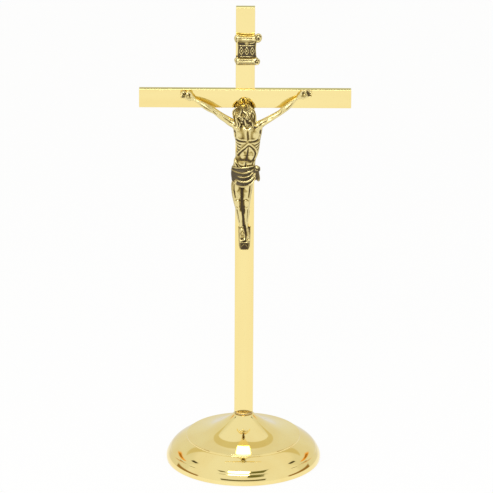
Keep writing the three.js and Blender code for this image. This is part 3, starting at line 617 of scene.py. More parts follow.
figure = {
    "spot": (0, -5, 327),
    "voxel": 0.34,
    "torso": [
        (0.2, -7.6, -15.5, 4.8, 4.2), (0.8, -7.4, -19, 8.8, 5.2), (1.2, -7.3, -22, 10.4, 5.9),
        (1.9, -7.2, -27, 11.3, 6.5), (2.6, -7, -33, 10.6, 6.6), (2.7, -6.5, -39, 9.9, 6),
        (2.3, -6, -44, 9.4, 5.3), (0.6, -5.7, -50, 8.8, 4.9), (-0.2, -5.8, -55, 9.2, 5.4),
        (-0.8, -5.9, -60, 9.8, 6), (-1.4, -5.8, -66, 9.6, 6.2), (-1.8, -5.6, -71, 7.6, 5.2)],
    "arms": [
        [(-6.5, -7, -22, 3.6, 4.4), (-10.1, -7.2, -19.8, 4.1, 4.3), (-14.8, -7, -16.3, 3.3, 3.6),
         (-19.7, -7, -13.2, 3, 3.2), (-24.8, -6.5, -9.4, 2.55, 2.8), (-28.5, -6.3, -7.3, 2.9, 2.9),
         (-33, -6, -4.9, 2.8, 2.8), (-39.6, -4.6, -1.1, 2.1, 2.1), (-44, -3.6, 0.7, 2.3, 1.7)],
        [(7.6, -7, -23, 3.6, 4.4), (10.8, -7.2, -21.2, 4, 4.2), (14.8, -7, -18.8, 3.2, 3.4),
         (21.1, -7, -15, 2.8, 3), (28.9, -6.5, -10.2, 2.4, 2.7), (32.3, -6.2, -7.4, 2.75, 2.8),
         (35.9, -6, -4.5, 2.7, 2.7), (41.1, -4.6, 0, 2, 2), (45.4, -3.6, 2.4, 2.2, 1.7)]],
    "legs": [
        [(-5.8, -6.2, -62, 4.6, 5.2), (-6.3, -6.6, -68, 5.3, 5.3), (-6.5, -7.4, -75, 5.2, 5),
         (-6.2, -9.2, -82.7, 4.5, 4.4), (-5.5, -10.9, -88.6, 3.7, 3.9), (-4.8, -9.9, -94, 3.1, 3.4),
         (-4, -8.2, -100, 3, 3.6), (-3.3, -6.6, -106.5, 2.3, 2.8), (-2.7, -6.4, -111.5, 2.2, 2.5),
         (-2.4, -7.4, -115.5, 2.4, 2)],
        [(2.8, -6.2, -62, 4.6, 5.2), (2.3, -6.6, -68, 5.2, 5.3), (1.9, -7.4, -75, 5, 5),
         (1.4, -9, -82.7, 4.2, 4.3), (1.2, -10.5, -88.8, 3.5, 3.8), (1.1, -9.3, -94.2, 3, 3.3),
         (1, -7.6, -100, 2.9, 3.5), (1.1, -5.8, -106.5, 2.2, 2.7), (1.2, -4.9, -111.5, 2.1, 2.4),
         (1.6, -5.6, -115.8, 2.2, 2)]],
    "feet": [
        [(-2.8, -5.6, -110.5, 2, 2.2), (-2.4, -6.9, -114, 2.3, 2.1), (-1.9, -8.3, -117, 2.5, 1.7),
         (-1.5, -9.7, -119.8, 2.7, 1.35), (-1.3, -10.9, -122, 2.4, 1)],
        [(1.2, -4.2, -111, 1.9, 2), (1.5, -4.7, -115, 2.2, 2), (1.9, -6, -118.3, 2.4, 1.6),
         (2.2, -7.5, -121, 2.4, 1.3), (2.4, -8.5, -123, 2, 0.95)]],
    "palms": [(-48.0, 2.9), (49.8, 4.8)],
    "palmFront": 4.6,
    "darkening": [  # a height, and how much darker the figure is made there
        (-124, 0.6), (-112, 0.44), (-104, 0.06), (-92, 0.2), (-66, 0.22), (-54, 0.22), (-46, 0.03), (0, 0)],
    "footPin": (-1.6, -116.4),
    "footPinFront": 10.2,
}


def addMuscles(bm):
    for side, x, z in ((-1, -3.2, -28.2), (1, 7.2, -28.6)):  # chest, flat and wide, drawn up to the arms
        addBall(bm, (x, -10.6, z), (6.3, 2.9, 5.9))
        addLimb(bm, [(x - side * 1.5, -11.2, z + 0.5, 3.4, 1.9), (x + side * 3.6, -10.4, z + 5.2, 3.0, 2.0),
                     (x + side * 7.2, -8.4, z + 9.2, 2.2, 1.9)])
    for side, x in ((-1, -7.2), (1, 12.0)):  # the broad back muscle from the armpit down the side
        addLimb(bm, [(x + side * 0.6, -6.4, -20.5, 2.6, 4.0), (x, -6.2, -27.0, 2.4, 4.6),
                     (x - side * 0.8, -6.0, -34.0, 1.8, 4.4), (x - side * 1.6, -5.8, -40.0, 1.2, 3.6)])
    addBall(bm, (-1.2, -8.6, -45.6), (3.4, 2.6, 7.4))  # the two bands of the belly
    addBall(bm, (4.4, -8.6, -45.2), (3.6, 2.7, 7.6))
    addBall(bm, (-0.2, -8.2, -54.0), (7.0, 3.3, 4.6))
    for side, x in ((-1, -7.0), (1, 6.2)):  # hips over the cloth
        addBall(bm, (x, -6.4, -55.0), (2.2, 3.6, 4.8), lean=side * 0.3)
    for x, y, z in ((-5.6, -12.6, -88.2), (1.2, -12.2, -88.4)):  # knee caps
        addBall(bm, (x, y + 0.5, z), (2.5, 2.1, 3.6))
    for x, y, z, lean in ((-6.9, -9.6, -74.0, 0.05), (2.0, -9.4, -74.0, -0.02)):  # thighs
        addBall(bm, (x, y, z), (3.5, 3.6, 8.6), lean=lean)
    for x, y, z in ((-4.6, -5.4, -98.5), (1.6, -5.0, -98.5)):  # calves
        addBall(bm, (x, y, z), (2.8, 3.0, 5.6))
    for arm, spot in zip(figure["arms"], (0.33, 0.34)):  # upper arm and forearm
        x, y, z = between(arm, spot)[:3]
        lean = math.atan2(arm[3][0] - arm[2][0], arm[3][2] - arm[2][2])
        addBall(bm, (x, y - 1.0, z), (2.1, 2.6, 5.0), lean=lean)
        x, y, z = between(arm, 0.66)[:3]
        addBall(bm, (x, y - 0.7, z - 0.5), (2.1, 2.4, 4.4), lean=lean)
    for side, x, z in ((-1, -9.6, -19.0), (1, 10.6, -20.4)):  # shoulders
        addBall(bm, (x, -8.2, z), (3.4, 4.0, 3.4))
    for side, x in ((-1, -3.6), (1, 4.6)):  # slopes of the neck
        addLimb(bm, [(0.4, -6.2, -13.5, 2.6, 3.0), (x, -6.4, -17.5, 2.4, 3.0),
                     (x * 2.2, -6.8, -19.6, 1.8, 2.6)])


def addHand(bm, palm):
    side = math.copysign(1, palm[0])
    out = Vector((side * 0.93, 0, 0.37))
    over = Vector((-side * 0.37, 0, 0.93))

    def at(along, across, depth):
        spot = Vector((palm[0], 0, palm[1])) + out * along + over * across
        return (spot.x, depth, spot.z)

    addLimb(bm, [(*at(-7.0, -0.1, -3.6), 1.9, 1.7), (*at(-4.2, 0, -3.3), 2.4, 1.6),
                 (*at(-1.5, 0.1, -2.9), 3.3, 1.6), (*at(1.0, 0, -2.7), 3.5, 1.4),
                 (*at(3.0, 0, -2.8), 3.1, 1.1)])
    addBall(bm, at(-2.4, 1.9, -3.9), (1.5, 1.2, 1.5))  # ball of the thumb
    addBall(bm, at(-2.2, -1.9, -3.7), (1.3, 1.1, 1.6))  # heel of the hand
    reach = {-2.55: 4.4, -0.85: 5.5, 0.85: 5.8, 2.5: 5.1}
    for across, length in reach.items():
        addLimb(bm, [(*at(1.8, across, -2.7), 0.82, 0.82), (*at(length - 1.2, across * 1.06, -2.9), 0.8, 0.8),
                     (*at(length + 0.4, across * 1.06, -4.0), 0.78, 0.78),
                     (*at(length + 0.1, across * 1.0, -5.4), 0.7, 0.7),
                     (*at(length - 1.5, across * 0.95, -6.1), 0.56, 0.56)], 10, 16, over)
    addLimb(bm, [(*at(-3.6, 1.8, -3.4), 1.1, 1.1), (*at(-1.4, 3.5, -4.4), 1.0, 1.0),
                 (*at(0.9, 4.2, -5.2), 0.9, 0.9), (*at(2.5, 3.9, -5.6), 0.62, 0.62)], 10, 14)


def addToes(bm):
    for i, over in enumerate((-2.15, -1.0, 0.0, 0.9, 1.7)):
        addLimb(bm, [(-1.45 + over, -9.4, -119.8 + 0.1 * i, 0.72 - 0.05 * i, 0.8),
                     (-1.38 + over, -10.9, -122.2 + 0.3 * i, 0.66 - 0.05 * i, 0.72),
                     (-1.3 + over, -11.7, -123.6 + 0.42 * i, 0.56 - 0.04 * i, 0.6)], 10, 12)
    for i, over in enumerate((2.1, 3.0, 3.8)):
        addLimb(bm, [(over, -7.4, -121.0, 0.75, 0.8), (over + 0.1, -8.6, -123.4 + 0.2 * i, 0.7, 0.7),
                     (over + 0.1, -9.0, -124.4 + 0.3 * i, 0.5, 0.5)], 10, 12)


bodyStrokes = [
    # chest and breastbone
    ([(-8.2, -28.5), (-7, -32), (-4, -33.6), (0.4, -33.6)], 1.5, -0.65),
    ([(4.2, -33.6), (8, -33.6), (11.2, -31.8), (12.4, -28.6)], 1.5, -0.65),
    ([(-7.6, -29), (-6.2, -31.2), (-3.6, -32.4), (0.6, -32.4)], 1.2, 0.45),
    ([(3.6, -32.4), (8, -32.4), (10.8, -30.8)], 1.2, 0.45),
    ([(2.2, -24), (2.4, -28), (2.8, -32.5)], 1.6, -0.35),
    ([(-0.6, -19.6), (2, -22.4), (4.2, -20.4)], 1, -0.4),
    ([(-7, -20.2), (-3.4, -19.8), (0, -20.8)], 0.9, 0.5),
    ([(3.6, -21), (6.6, -20.2), (9.6, -20.6)], 0.9, 0.5),
    # arch of the ribs, with the hollow under it
    ([(2.8, -35.6), (0.4, -38.6), (-2.8, -42), (-5.8, -45.2)], 1.2, 0.65),
    ([(3.4, -35.4), (5.8, -37.4), (8.6, -40.8), (10, -44.6)], 1.2, 0.65),
    ([(2.2, -37.4), (-0.6, -40.6), (-3.6, -43.8), (-5.6, -47)], 1.3, -0.6),
    ([(4, -37.4), (6.8, -40.2), (8.9, -44), (8.6, -48), (6.8, -51)], 1.3, -0.6),
    # ribs at both sides
    ([(-7.8, -35.4), (-5.6, -36.6), (-3.4, -37)], 0.75, -0.6),
    ([(-7.9, -37.6), (-6, -39.2), (-3.8, -39.8)], 0.75, -0.6),
    ([(-7.8, -39.8), (-6.4, -41.6), (-4.8, -42.6)], 0.7, -0.55),
    ([(-7.6, -42.2), (-6.8, -43.8), (-5.6, -45)], 0.65, -0.45),
    ([(12.8, -35), (10.8, -36.6), (8.8, -37.2)], 0.75, -0.6),
    ([(12.7, -37.2), (11, -39), (9.6, -39.8)], 0.75, -0.6),
    ([(12.3, -39.6), (11.3, -41.4), (10.3, -42.4)], 0.7, -0.5),
    ([(-7.8, -34.2), (-5.4, -35.4), (-2.6, -35.6)], 0.7, 0.4),
    ([(12.6, -34), (10.4, -35.4), (7.8, -35.8)], 0.7, 0.4),
    # belly
    ([(2.9, -38), (2.5, -43), (1.7, -48), (1.2, -51)], 1.1, -0.32),
    ([(0.9, -52.6), (0.6, -56), (0.4, -59)], 0.8, -0.5),
    ([(-3.4, -47), (-0.4, -46.4), (1.8, -47)], 0.8, -0.15),
    ([(1.8, -46.8), (4.4, -46), (6.8, -46.6)], 0.8, -0.15),
    ([(-2.8, -41.8), (0, -41.2), (2.2, -41.6)], 0.7, -0.1),
    ([(3, -41.4), (5.2, -41), (6.6, -41.4)], 0.7, -0.1),
    ([(-8.6, -53), (-6.6, -55.8), (-5.2, -58.6)], 1, -0.6),
    ([(7.6, -51.8), (6.6, -54.6), (6, -58.4)], 1, -0.6),
    ([(-5.6, -58.2), (0.2, -59.2), (6.4, -58)], 1.2, -0.5),
    ([(2, -53.6), (4.4, -54.4), (5.8, -53.8)], 1.2, 0.4),
    ([(-4.4, -53.8), (-2.4, -54.8), (0, -54.2)], 1.2, 0.35),
    # armpits and the seams of the arms
    ([(-9.8, -22.4), (-8.4, -26), (-8.2, -30)], 1.3, -0.6),
    ([(13.2, -22.6), (13, -26), (12.8, -30)], 1.3, -0.6),
    ([(-7.6, -20.6), (-10.6, -18.6), (-15, -15.4), (-20, -12.2)], 0.8, -0.5),
    ([(8.8, -21.8), (12.4, -19.6), (17.6, -16.4), (23, -13.4)], 0.8, -0.5),
    ([(-23.6, -11.6), (-26.2, -9.2), (-26.8, -7.2)], 0.9, -0.5),
    ([(-27.4, -8.8), (-33.2, -5.6), (-39, -2.2)], 0.8, -0.5),
    ([(27, -12.2), (29.8, -9.8), (30.6, -7.6)], 0.9, -0.5),
    ([(31.2, -9), (36.2, -5), (41, -0.8)], 0.8, -0.5),
    ([(-29, -6.4), (-33.6, -3.8), (-38, -1.2)], 0.7, 0.3),
    ([(33, -6.6), (37, -3), (40.4, 0.4)], 0.7, 0.3),
    # thighs, knees and shins
    ([(-2.2, -66), (-2.4, -74), (-2.5, -82), (-2.2, -88), (-1.8, -96), (-0.9, -104)], 1.2, -0.35),
    ([(-8.8, -68), (-9, -76), (-7.8, -83)], 1.2, -0.4),
    ([(-4, -84), (-3.6, -90), (-3.4, -96)], 1.6, -0.6),
    ([(-0.6, -86), (-0.4, -92), (-0.2, -98)], 1.3, -0.4),
    ([(4.6, -69), (4.2, -77), (3.4, -83)], 1.2, -0.4),
    ([(-7.8, -85.6), (-5.6, -84.6), (-3.6, -85.8)], 1.1, -0.25),
    ([(-0.8, -85.8), (1.2, -84.8), (3.2, -86)], 1.1, -0.25),
    ([(-7, -91), (-5.4, -92), (-4, -91)], 1.1, -0.3),
    ([(-0.4, -91.2), (1.2, -92.2), (2.8, -91.2)], 1.1, -0.3),
    ([(-5.4, -93), (-4.4, -100), (-3.2, -108)], 0.7, 0.45),
    ([(1, -93.2), (1, -100), (1, -107)], 0.7, 0.45),
    ([(-6.4, -94), (-5.4, -101), (-4.2, -107)], 0.8, -0.35),
    ([(2.6, -94), (2.5, -101), (2.2, -107)], 0.8, -0.35),
    # ankles and the tendons of the feet
    ([(-4.2, -111)], 1.1, 0.5), ([(-1.2, -111.2)], 1, 0.45), ([(2.8, -111.6)], 1.1, 0.5),
    ([(-3, -114), (-2.9, -117), (-3, -119.6)], 0.45, 0.3),
    ([(-1.2, -113), (-0.2, -116.6), (0.3, -119.4)], 0.5, 0.35),
    ([(0.4, -110), (1, -114.6), (1.2, -119.6), (0.9, -123)], 0.6, -0.8),
]


def makeBody():
    bm = bmesh.new()
    addLimb(bm, figure["torso"], 28, 40)
    for arm in figure["arms"]:
        addLimb(bm, arm, 18, 40)
    for leg in figure["legs"]:
        addLimb(bm, leg, 18, 44)
    for foot in figure["feet"]:
        addLimb(bm, foot, 16, 18)
    addLimb(bm, [(0.4, -7.4, -18.6, 4.2, 4.0), (0.0, -8.8, -14.0, 3.7, 3.8), (-0.2, -10.2, -9.0, 3.6, 3.6)])
    addMuscles(bm)
    mesh = fuse(bm, "body", 0.5, 7)
    bm = bmesh.new()
    bm.from_mesh(mesh)
    for palm in figure["palms"]:
        addHand(bm, palm)
    addToes(bm)
    mesh = fuse(bm, "body", figure["voxel"], 2)
    press(mesh, bodyStrokes)
    ends, counts = neighbours(mesh)
    writeSpots(mesh, relax(readSpots(mesh), ends, counts, 1, 0.5))
    # the figure is made darker at the listed heights, most of all at the feet
    darkening = np.interp(readSpots(mesh)[:, 2], *zip(*figure["darkening"]))
    scales = [(3, 0.05, 0.25), (14, 0.16, 0.45), (60, 0.5, 0.6)]
    finishCasting(mesh, "figureBody", "corpus", figureBrass, scales, figure["spot"], darkening)


# Head, upright about its own middle, then turned, bowed and leant

head = {
    "middle": (0, -11.4, -11.2),
    "bow": 22,
    "turn": -8,
    "lean": -18,
    "voxel": 0.22,
    "falls": [  # the long locks over both shoulders
        [(-5.2, -10.6, -5), (-7.6, -10.4, -9), (-7.8, -10.4, -13), (-6.8, -10.8, -17), (-8.2, -11.4, -21)],
        [(-4.8, -12, -7), (-6.4, -12, -10.4), (-7, -12.2, -14), (-5.4, -12.6, -18.4), (-6.6, -12.8, -22.8)],
        [(-5.6, -9.4, -4), (-8.6, -9, -8.4), (-8.8, -9, -12.4), (-8.4, -9.4, -16.4), (-9.8, -10, -19.6)],
        [(4, -11.4, -5), (6.2, -11.2, -9), (6.4, -11.2, -13), (6, -11.6, -17), (8, -11.8, -20.8)],
        [(3.8, -12.4, -7), (5.4, -12.4, -11), (5.4, -12.4, -14.6), (5.6, -12.6, -18.2), (6.4, -12.8, -21.8)],
        [(4.4, -9.8, -4), (7, -9.6, -8), (7.8, -9.6, -12.4), (7.8, -9.8, -16.4), (9.6, -10.2, -19)],
    ],
    "fallSizes": (0.8, 1.1, 1.15, 1, 0.45),
}


def headPlace():
    return (
        Matrix.Translation(head["middle"])
        @ Matrix.Rotation(math.radians(head["lean"]), 4, "Y")
        @ Matrix.Rotation(math.radians(head["bow"]), 4, "X")
        @ Matrix.Rotation(math.radians(head["turn"]), 4, "Z")
    )


def addFace(bm):
    addBall(bm, (0, 1.0, 2.2), (5.5, 6.7, 6.3), 24, 18)
    addBall(bm, (0, -1.6, -2.4), (4.5, 4.7, 6.0), 24, 18)
    addBall(bm, (0, -4.2, -7.0), (2.2, 1.9, 1.9))
    for side in (-1, 1):
        addBall(bm, (side * 2.9, -4.3, -2.4), (1.7, 1.4, 1.5))
        addBall(bm, (side * 2.05, -5.1, 0.0), (1.15, 0.95, 0.85))
        addLimb(bm, [(side * 0.5, -6.1, 1.3, 0.5, 0.5), (side * 2.1, -6.0, 1.9, 0.55, 0.55),
                     (side * 3.9, -4.9, 1.2, 0.45, 0.5)], 10, 12)
    addLimb(bm, [(0, -5.7, 1.4, 0.75, 0.7), (0, -6.6, -0.8, 0.7, 0.8), (0, -7.5, -3.0, 0.85, 0.85),
                 (0, -7.3, -4, 0.8, 0.6)], 12, 16)
    for side in (-1, 1):
        addBall(bm, (side * 0.8, -6.5, -3.9), (0.6, 0.65, 0.5))
    addLimb(bm, [(-1.7, -5.5, -5.75, 0.35, 0.4), (0, -6.3, -5.55, 0.5, 0.45), (1.7, -5.5, -5.75, 0.35, 0.4)],
            10, 12, (0, 0, 1))
    addLimb(bm, [(-1.4, -5.5, -6.45, 0.35, 0.4), (0, -6.2, -6.6, 0.55, 0.5), (1.4, -5.5, -6.45, 0.35, 0.4)],
            10, 12, (0, 0, 1))


faceStrokes = [
    ([(-3, -0.35), (-2.05, -0.55), (-1.1, -0.35)], 0.4, -0.3),
    ([(1.1, -0.35), (2.05, -0.55), (3, -0.35)], 0.4, -0.3),
    ([(-3.2, 0.9), (-2.1, 1.2), (-0.9, 0.6)], 0.5, -0.3),
    ([(0.9, 0.6), (2.1, 1.2), (3.2, 0.9)], 0.5, -0.3),
    ([(-1.6, -6.1), (0, -6.05), (1.6, -6.1)], 0.35, -0.35),
    ([(-1.4, -3.6), (-2.2, -5.2)], 0.5, -0.25),
    ([(1.4, -3.6), (2.2, -5.2)], 0.5, -0.25),
]


def lockPath(angle, start, end, swing, reach, steps=6):
    # a lock of hair down the side of the head, in the head's own space
    stations = []
    for i in range(steps):
        share = i / (steps - 1)
        wave = math.sin(share * 7.5 + swing * 3) * 0.28 * share
        turned = angle + swing * share
        out = 1 + reach * share
        stations.append((
            (5.4 + wave) * out * math.sin(turned),
            1.0 - (6.8 + wave) * out * math.cos(turned),
            start + (end - start) * share))
    return stations


def addHair(bm):
    # combed from a middle parting over the crown and down behind the cheeks
    for side in (-1, 1):
        for i in range(9):
            angle = side * (0.62 + i * 0.27)
            crown = (side * 0.4, 0.6 + i * 0.75 - 3.4, 8.6 - abs(i - 3) * 0.12)
            path = lockPath(angle, 5.6, -5.4 - 0.3 * i, side * 0.16, 0.02)
            stations = [(*crown, 0.9, 0.7)]
            stations += [(x, y, z, 1.05, 0.8) for x, y, z in path[:-1]]
            stations += [(*path[-1], 0.6, 0.5)]
            addLimb(bm, stations, 10, 30, (math.sin(angle) * 0.9, -math.cos(angle), 0.2))
    addBall(bm, (0, 1.5, 2.4), (5.5, 6.8, 6.4), 24, 18)


def addBeard(bm):
    for side in (-1, 1):
        for i in range(5):
            over = side * (0.35 + i * 0.85)
            back = 0.16 * i * i
            drop = 10.6 - 0.35 * i * i
            addLimb(bm, [(over * 1.05, -5.0 + back, -6.4 + 0.55 * i, 0.5, 0.5),
                         (over * 1.0, -5.4 + back, -8.2 + 0.25 * i, 0.6, 0.6),
                         (over * 0.7, -5.0 + back * 0.8, -drop, 0.35, 0.35)], 8, 14)
        addLimb(bm, [(side * 0.3, -6.7, -4.9, 0.35, 0.35), (side * 1.3, -6.3, -5.2, 0.42, 0.4),
                     (side * 2.3, -5.3, -6.4, 0.3, 0.3)], 8, 12, (0, 0, 1))
    addBall(bm, (0, -3.6, -7.4), (3.0, 2.2, 2.4))


def addFallingLocks(bm):
    # in the figure's own space
    for fall in head["falls"]:
        for over in (-0.55, 0.55):
            stations = []
            for i, (x, y, z) in enumerate(fall):
                wave = math.sin(i * 1.9 + over * 2 + x) * 0.4
                size = head["fallSizes"][i]
                stations.append((x + over + wave, y + abs(over) * 0.5, z, size, size * 0.95))
            addLimb(bm, stations, 10, 28)
    addLimb(bm, [(-0.6, -7.4, -6.0, 5.2, 3.0), (-0.4, -6.2, -12.0, 6.6, 2.8), (0.2, -6.2, -18.0, 6.0, 2.4),
                 (0.6, -6.6, -21.5, 4.4, 1.8)], 18, 16)


def makeHead():
    bm = bmesh.new()
    addFace(bm)
    mesh = fuse(bm, "face", head["voxel"], 5)
    press(mesh, faceStrokes)
    bm = bmesh.new()
    bm.from_mesh(mesh)
    addHair(bm)
    addBeard(bm)
    bmesh.ops.transform(bm, matrix=headPlace(), verts=bm.verts)
    addFallingLocks(bm)
    mesh = fuse(bm, "head", head["voxel"], 1)
    scales = [(3, 0.04, 0.3), (16, 0.14, 0.5), (60, 0.4, 0.5)]
    finishCasting(mesh, "figureHead", "corpus", headBrass, scales, figure["spot"])


wreath = {
    "ring": (6.2, 7.5),  # half its width and half its depth
    "middle": 0.8,
    "height": 3.7,
    "twists": 7,
    "steps": 44,
    "thorns": 16,
    "thornFoot": (6, 7.3),
    "thornTip": (7.9, 9.5),
    "voxel": 0.2,
}


def ringSpot(angle, reach, height):
    return Vector((reach[0] * math.sin(angle), wreath["middle"] - reach[1] * math.cos(angle), height))


def addCord(bm, phase):
    count = wreath["steps"]
    wide, deep = wreath["ring"]
    stations = []
    for i in range(count + 1):
        angle = 2 * math.pi * i / count
        twist = angle * wreath["twists"] + phase
        out = 1 + 0.1 * math.cos(twist)
        stations.append((
            wide * out * math.sin(angle), wreath["middle"] - deep * out * math.cos(angle),
            wreath["height"] + 0.75 * math.sin(twist) + 0.5 * math.cos(angle), 0.66, 0.66))
    for start in (0, count // 2):
        addLimb(bm, stations[start:start + count // 2 + 1], 10, 70, (0.01, 0.02, 1))


def makeWreath():
    # two twisted cords with thorns between them
    bm = bmesh.new()
    for phase in (0, math.pi):
        addCord(bm, phase)
    for i in range(wreath["thorns"]):
        angle = 2 * math.pi * (i + 0.3) / wreath["thorns"]
        ahead = angle + 0.16 * (-1 if i % 3 else 1)
        up = (0.9, -0.7, 0.3, -1.1)[i % 4]
        start = ringSpot(angle, wreath["thornFoot"], wreath["height"] + 0.5 * math.cos(angle))
        tip = ringSpot(ahead, wreath["thornTip"], 3.9 + up * 1.7)
        addLimb(bm, [(*start, 0.5, 0.5), (*start.lerp(tip, 0.5), 0.34, 0.34), (*tip, 0.12, 0.12)],
                8, 8, (0.1, 0.2, 1))
    bmesh.ops.transform(bm, matrix=headPlace(), verts=bm.verts)
    mesh = fuse(bm, "wreath", wreath["voxel"], 1)
    scales = [(3, 0.04, 0.3), (16, 0.14, 0.5), (40, 0.3, 0.5)]
    finishCasting(mesh, "thornWreath", "corpus", headBrass, scales, figure["spot"])


# Loincloth, drawn in folds from one hip up to the knot at the other

cloth = {
    "wrap": [(-0.5, -6.2, -56, 8.2, 5), (-0.7, -6.2, -58, 9.9, 6.3), (-1.1, -6.4, -62, 10.4, 6.9),
             (-1.3, -6.6, -66.4, 10.2, 7.1), (-1.3, -6.8, -70, 9, 6.7), (-1.3, -7, -71.8, 7, 5.6)],
    "folds": [  # a path and a size each
        ([(9.4, -8.6, -56.4), (5, -11.4, -56.2), (-1, -12.4, -57),
          (-7, -11.2, -57.6), (-11.4, -7.2, -57.6)], 0.75),
        ([(9.6, -9.6, -57.4), (5.2, -12.4, -59.6), (-0.8, -13.2, -61.4),
          (-7, -11.8, -60.6), (-11.8, -7.6, -59.4)], 1.05),
        ([(9.8, -10, -58.4), (6.2, -12.9, -61.8), (1.4, -13.8, -64.6),
          (-4.6, -13.2, -64.6), (-11.4, -8.4, -62)], 0.8),
        ([(10, -10.2, -59.6), (7.4, -12.6, -64.2), (3, -14.2, -68),
          (-3.8, -13.9, -68.4), (-11.4, -8.2, -65.2)], 1.15),
        ([(9.8, -9.8, -61.8), (8, -11.8, -67.4), (3.4, -13.8, -72),
          (-2.8, -14, -73), (-8.2, -11.8, -71), (-11.2, -7.4, -68)], 0.95)],
    "tails": [
        [(10.2, -9.8, -58, 1.2, 1.2), (10.9, -9.8, -62, 1.4, 1.2), (11.3, -9.4, -66, 1.6, 1.1),
         (11.6, -9.2, -70.2, 1.7, 0.9)],
        [(9.7, -10.2, -58.6, 1.1, 1.1), (9.6, -10.4, -62.4, 1.2, 1.1), (9.3, -10, -66, 1.3, 1),
         (9.2, -9.6, -69, 1.3, 0.8)],
        [(10.8, -8.6, -57, 1, 1), (12, -8.4, -58.4, 1.1, 0.9), (12.2, -8.2, -61.4, 1, 0.8)]],
    "creases": [
        ([(10, -59.6), (10.3, -64), (10.4, -69.4)], 0.5, -0.5),
        ([(11.4, -61), (11.9, -65), (12.2, -69.8)], 0.45, -0.4),
        ([(8.4, -57), (10, -58.6), (11.6, -58)], 0.5, -0.45),
        ([(7.6, -58), (1, -59.4), (-6, -59)], 0.6, -0.4),
        ([(8, -60.4), (2, -63.4), (-5, -63)], 0.5, -0.35),
        ([(8.2, -63), (3, -66.8), (-4, -67.2), (-9.8, -64.6)], 0.6, -0.4),
        ([(8.4, -66.4), (3.4, -70.6), (-2.4, -71.2), (-9, -68.2)], 0.7, -0.4)],
    "voxel": 0.3,
}


def makeCloth():
    bm = bmesh.new()
    addLimb(bm, cloth["wrap"], 30, 26)
    addLimb(bm, [(-1.0, -12.2, -69.0, 6.4, 2.0), (-1.2, -12.2, -72.4, 6.0, 1.6)], 18, 10)
    for fold, size in cloth["folds"]:
        addLimb(bm, [(x, y, z, size, size * 0.8) for x, y, z in fold], 12, 40, (0.1, -1, 0.35))
    for i in range(3):  # folds round the back
        z = -58.5 - 4.2 * i
        addLimb(bm, [(-11.2, -6.6, z, 0.9, 0.9), (-7.4, -1.2, z - 1.2, 0.9, 0.8),
                     (-1.2, 0.4, z - 2, 0.9, 0.6), (5.6, -1, z - 1.4, 0.9, 0.8),
                     (9.4, -6.2, z + 0.4, 0.9, 0.9)], 12, 30, (0, 0.2, 1))
    addBall(bm, (10.0, -10.0, -57.6), (2.0, 2.0, 2.2))
    addBall(bm, (9.6, -10.8, -59.2), (1.7, 1.5, 1.3), lean=0.6)
    for tail in cloth["tails"]:
        addLimb(bm, tail, 12, 24)
    mesh = fuse(bm, "cloth", cloth["voxel"], 3)
    press(mesh, cloth["creases"])
    scales = [(3, 0.05, 0.25), (14, 0.18, 0.5), (60, 0.6, 0.6)]
    finishCasting(mesh, "loinCloth", "corpus", clothBrass, scales, figure["spot"])


makeBody()
print("body made")
makeHead()
makeWreath()
makeCloth()
print("figure made")


# Footrest: a tapered block with a small arch on its face

footrest = {
    "top": {"back": (5.5, -113.6), "front": (4.3, -125.0)},
    "bottom": {"back": 4.62, "front": 3.61, "height": -131.8},
    "front": -8.2,
    "back": 2,
    "edge": 0.35,
    "voxel": 0.22,
}


def makeFootrest():
    bm = bmesh.new()
    made = bmesh.ops.create_cube(bm, size=2)
    for vert in made["verts"]:
        atBack = vert.co.y > 0
        atTop = vert.co.z > 0
        row = "back" if atBack else "front"
        wide = footrest["top"][row][0] if atTop else footrest["bottom"][row]
        height = footrest["top"][row][1] if atTop else footrest["bottom"]["height"]
        vert.co = (vert.co.x * wide, footrest[row], height)
    roundEdges(bm, footrest["edge"])
    front = footrest["front"]
    for side in (-1, 1):  # the arch, with a lip over it
        addLimb(bm, [(side * 2.3, front, -129.6, 0.4, 0.45), (side * 1.9, front, -127.8, 0.4, 0.45),
                     (0, front, -126.9, 0.4, 0.45)], 8, 12, (0, -1, 0.01))
    lip = [(x, front + 0.15, -125.2, 0.5, 0.5) for x in (-4.1, 4.1)]
    addLimb(bm, lip, 10, 30, (0, -1, 0))
    mesh = fuse(bm, "footrest", footrest["voxel"], 2)
    scales = [(3, 0.05, 0.3), (16, 0.2, 0.5), (50, 0.5, 0.4)]
    finishCasting(mesh, "footRest", "footrest", footBrass, scales, figure["spot"])


# Pins: round heads with a slightly hammered crown

pins = {
    "headRadius": 1.6,
    "headHeight": 1,
    "hammering": 0.09,
    "darkFrom": 0.72,  # the share of the head's radius from which the dip stays
    "shankRadius": 0.8,
    "crossbarEnd": -1.6,
    "uprightEnd": 0.4,
}


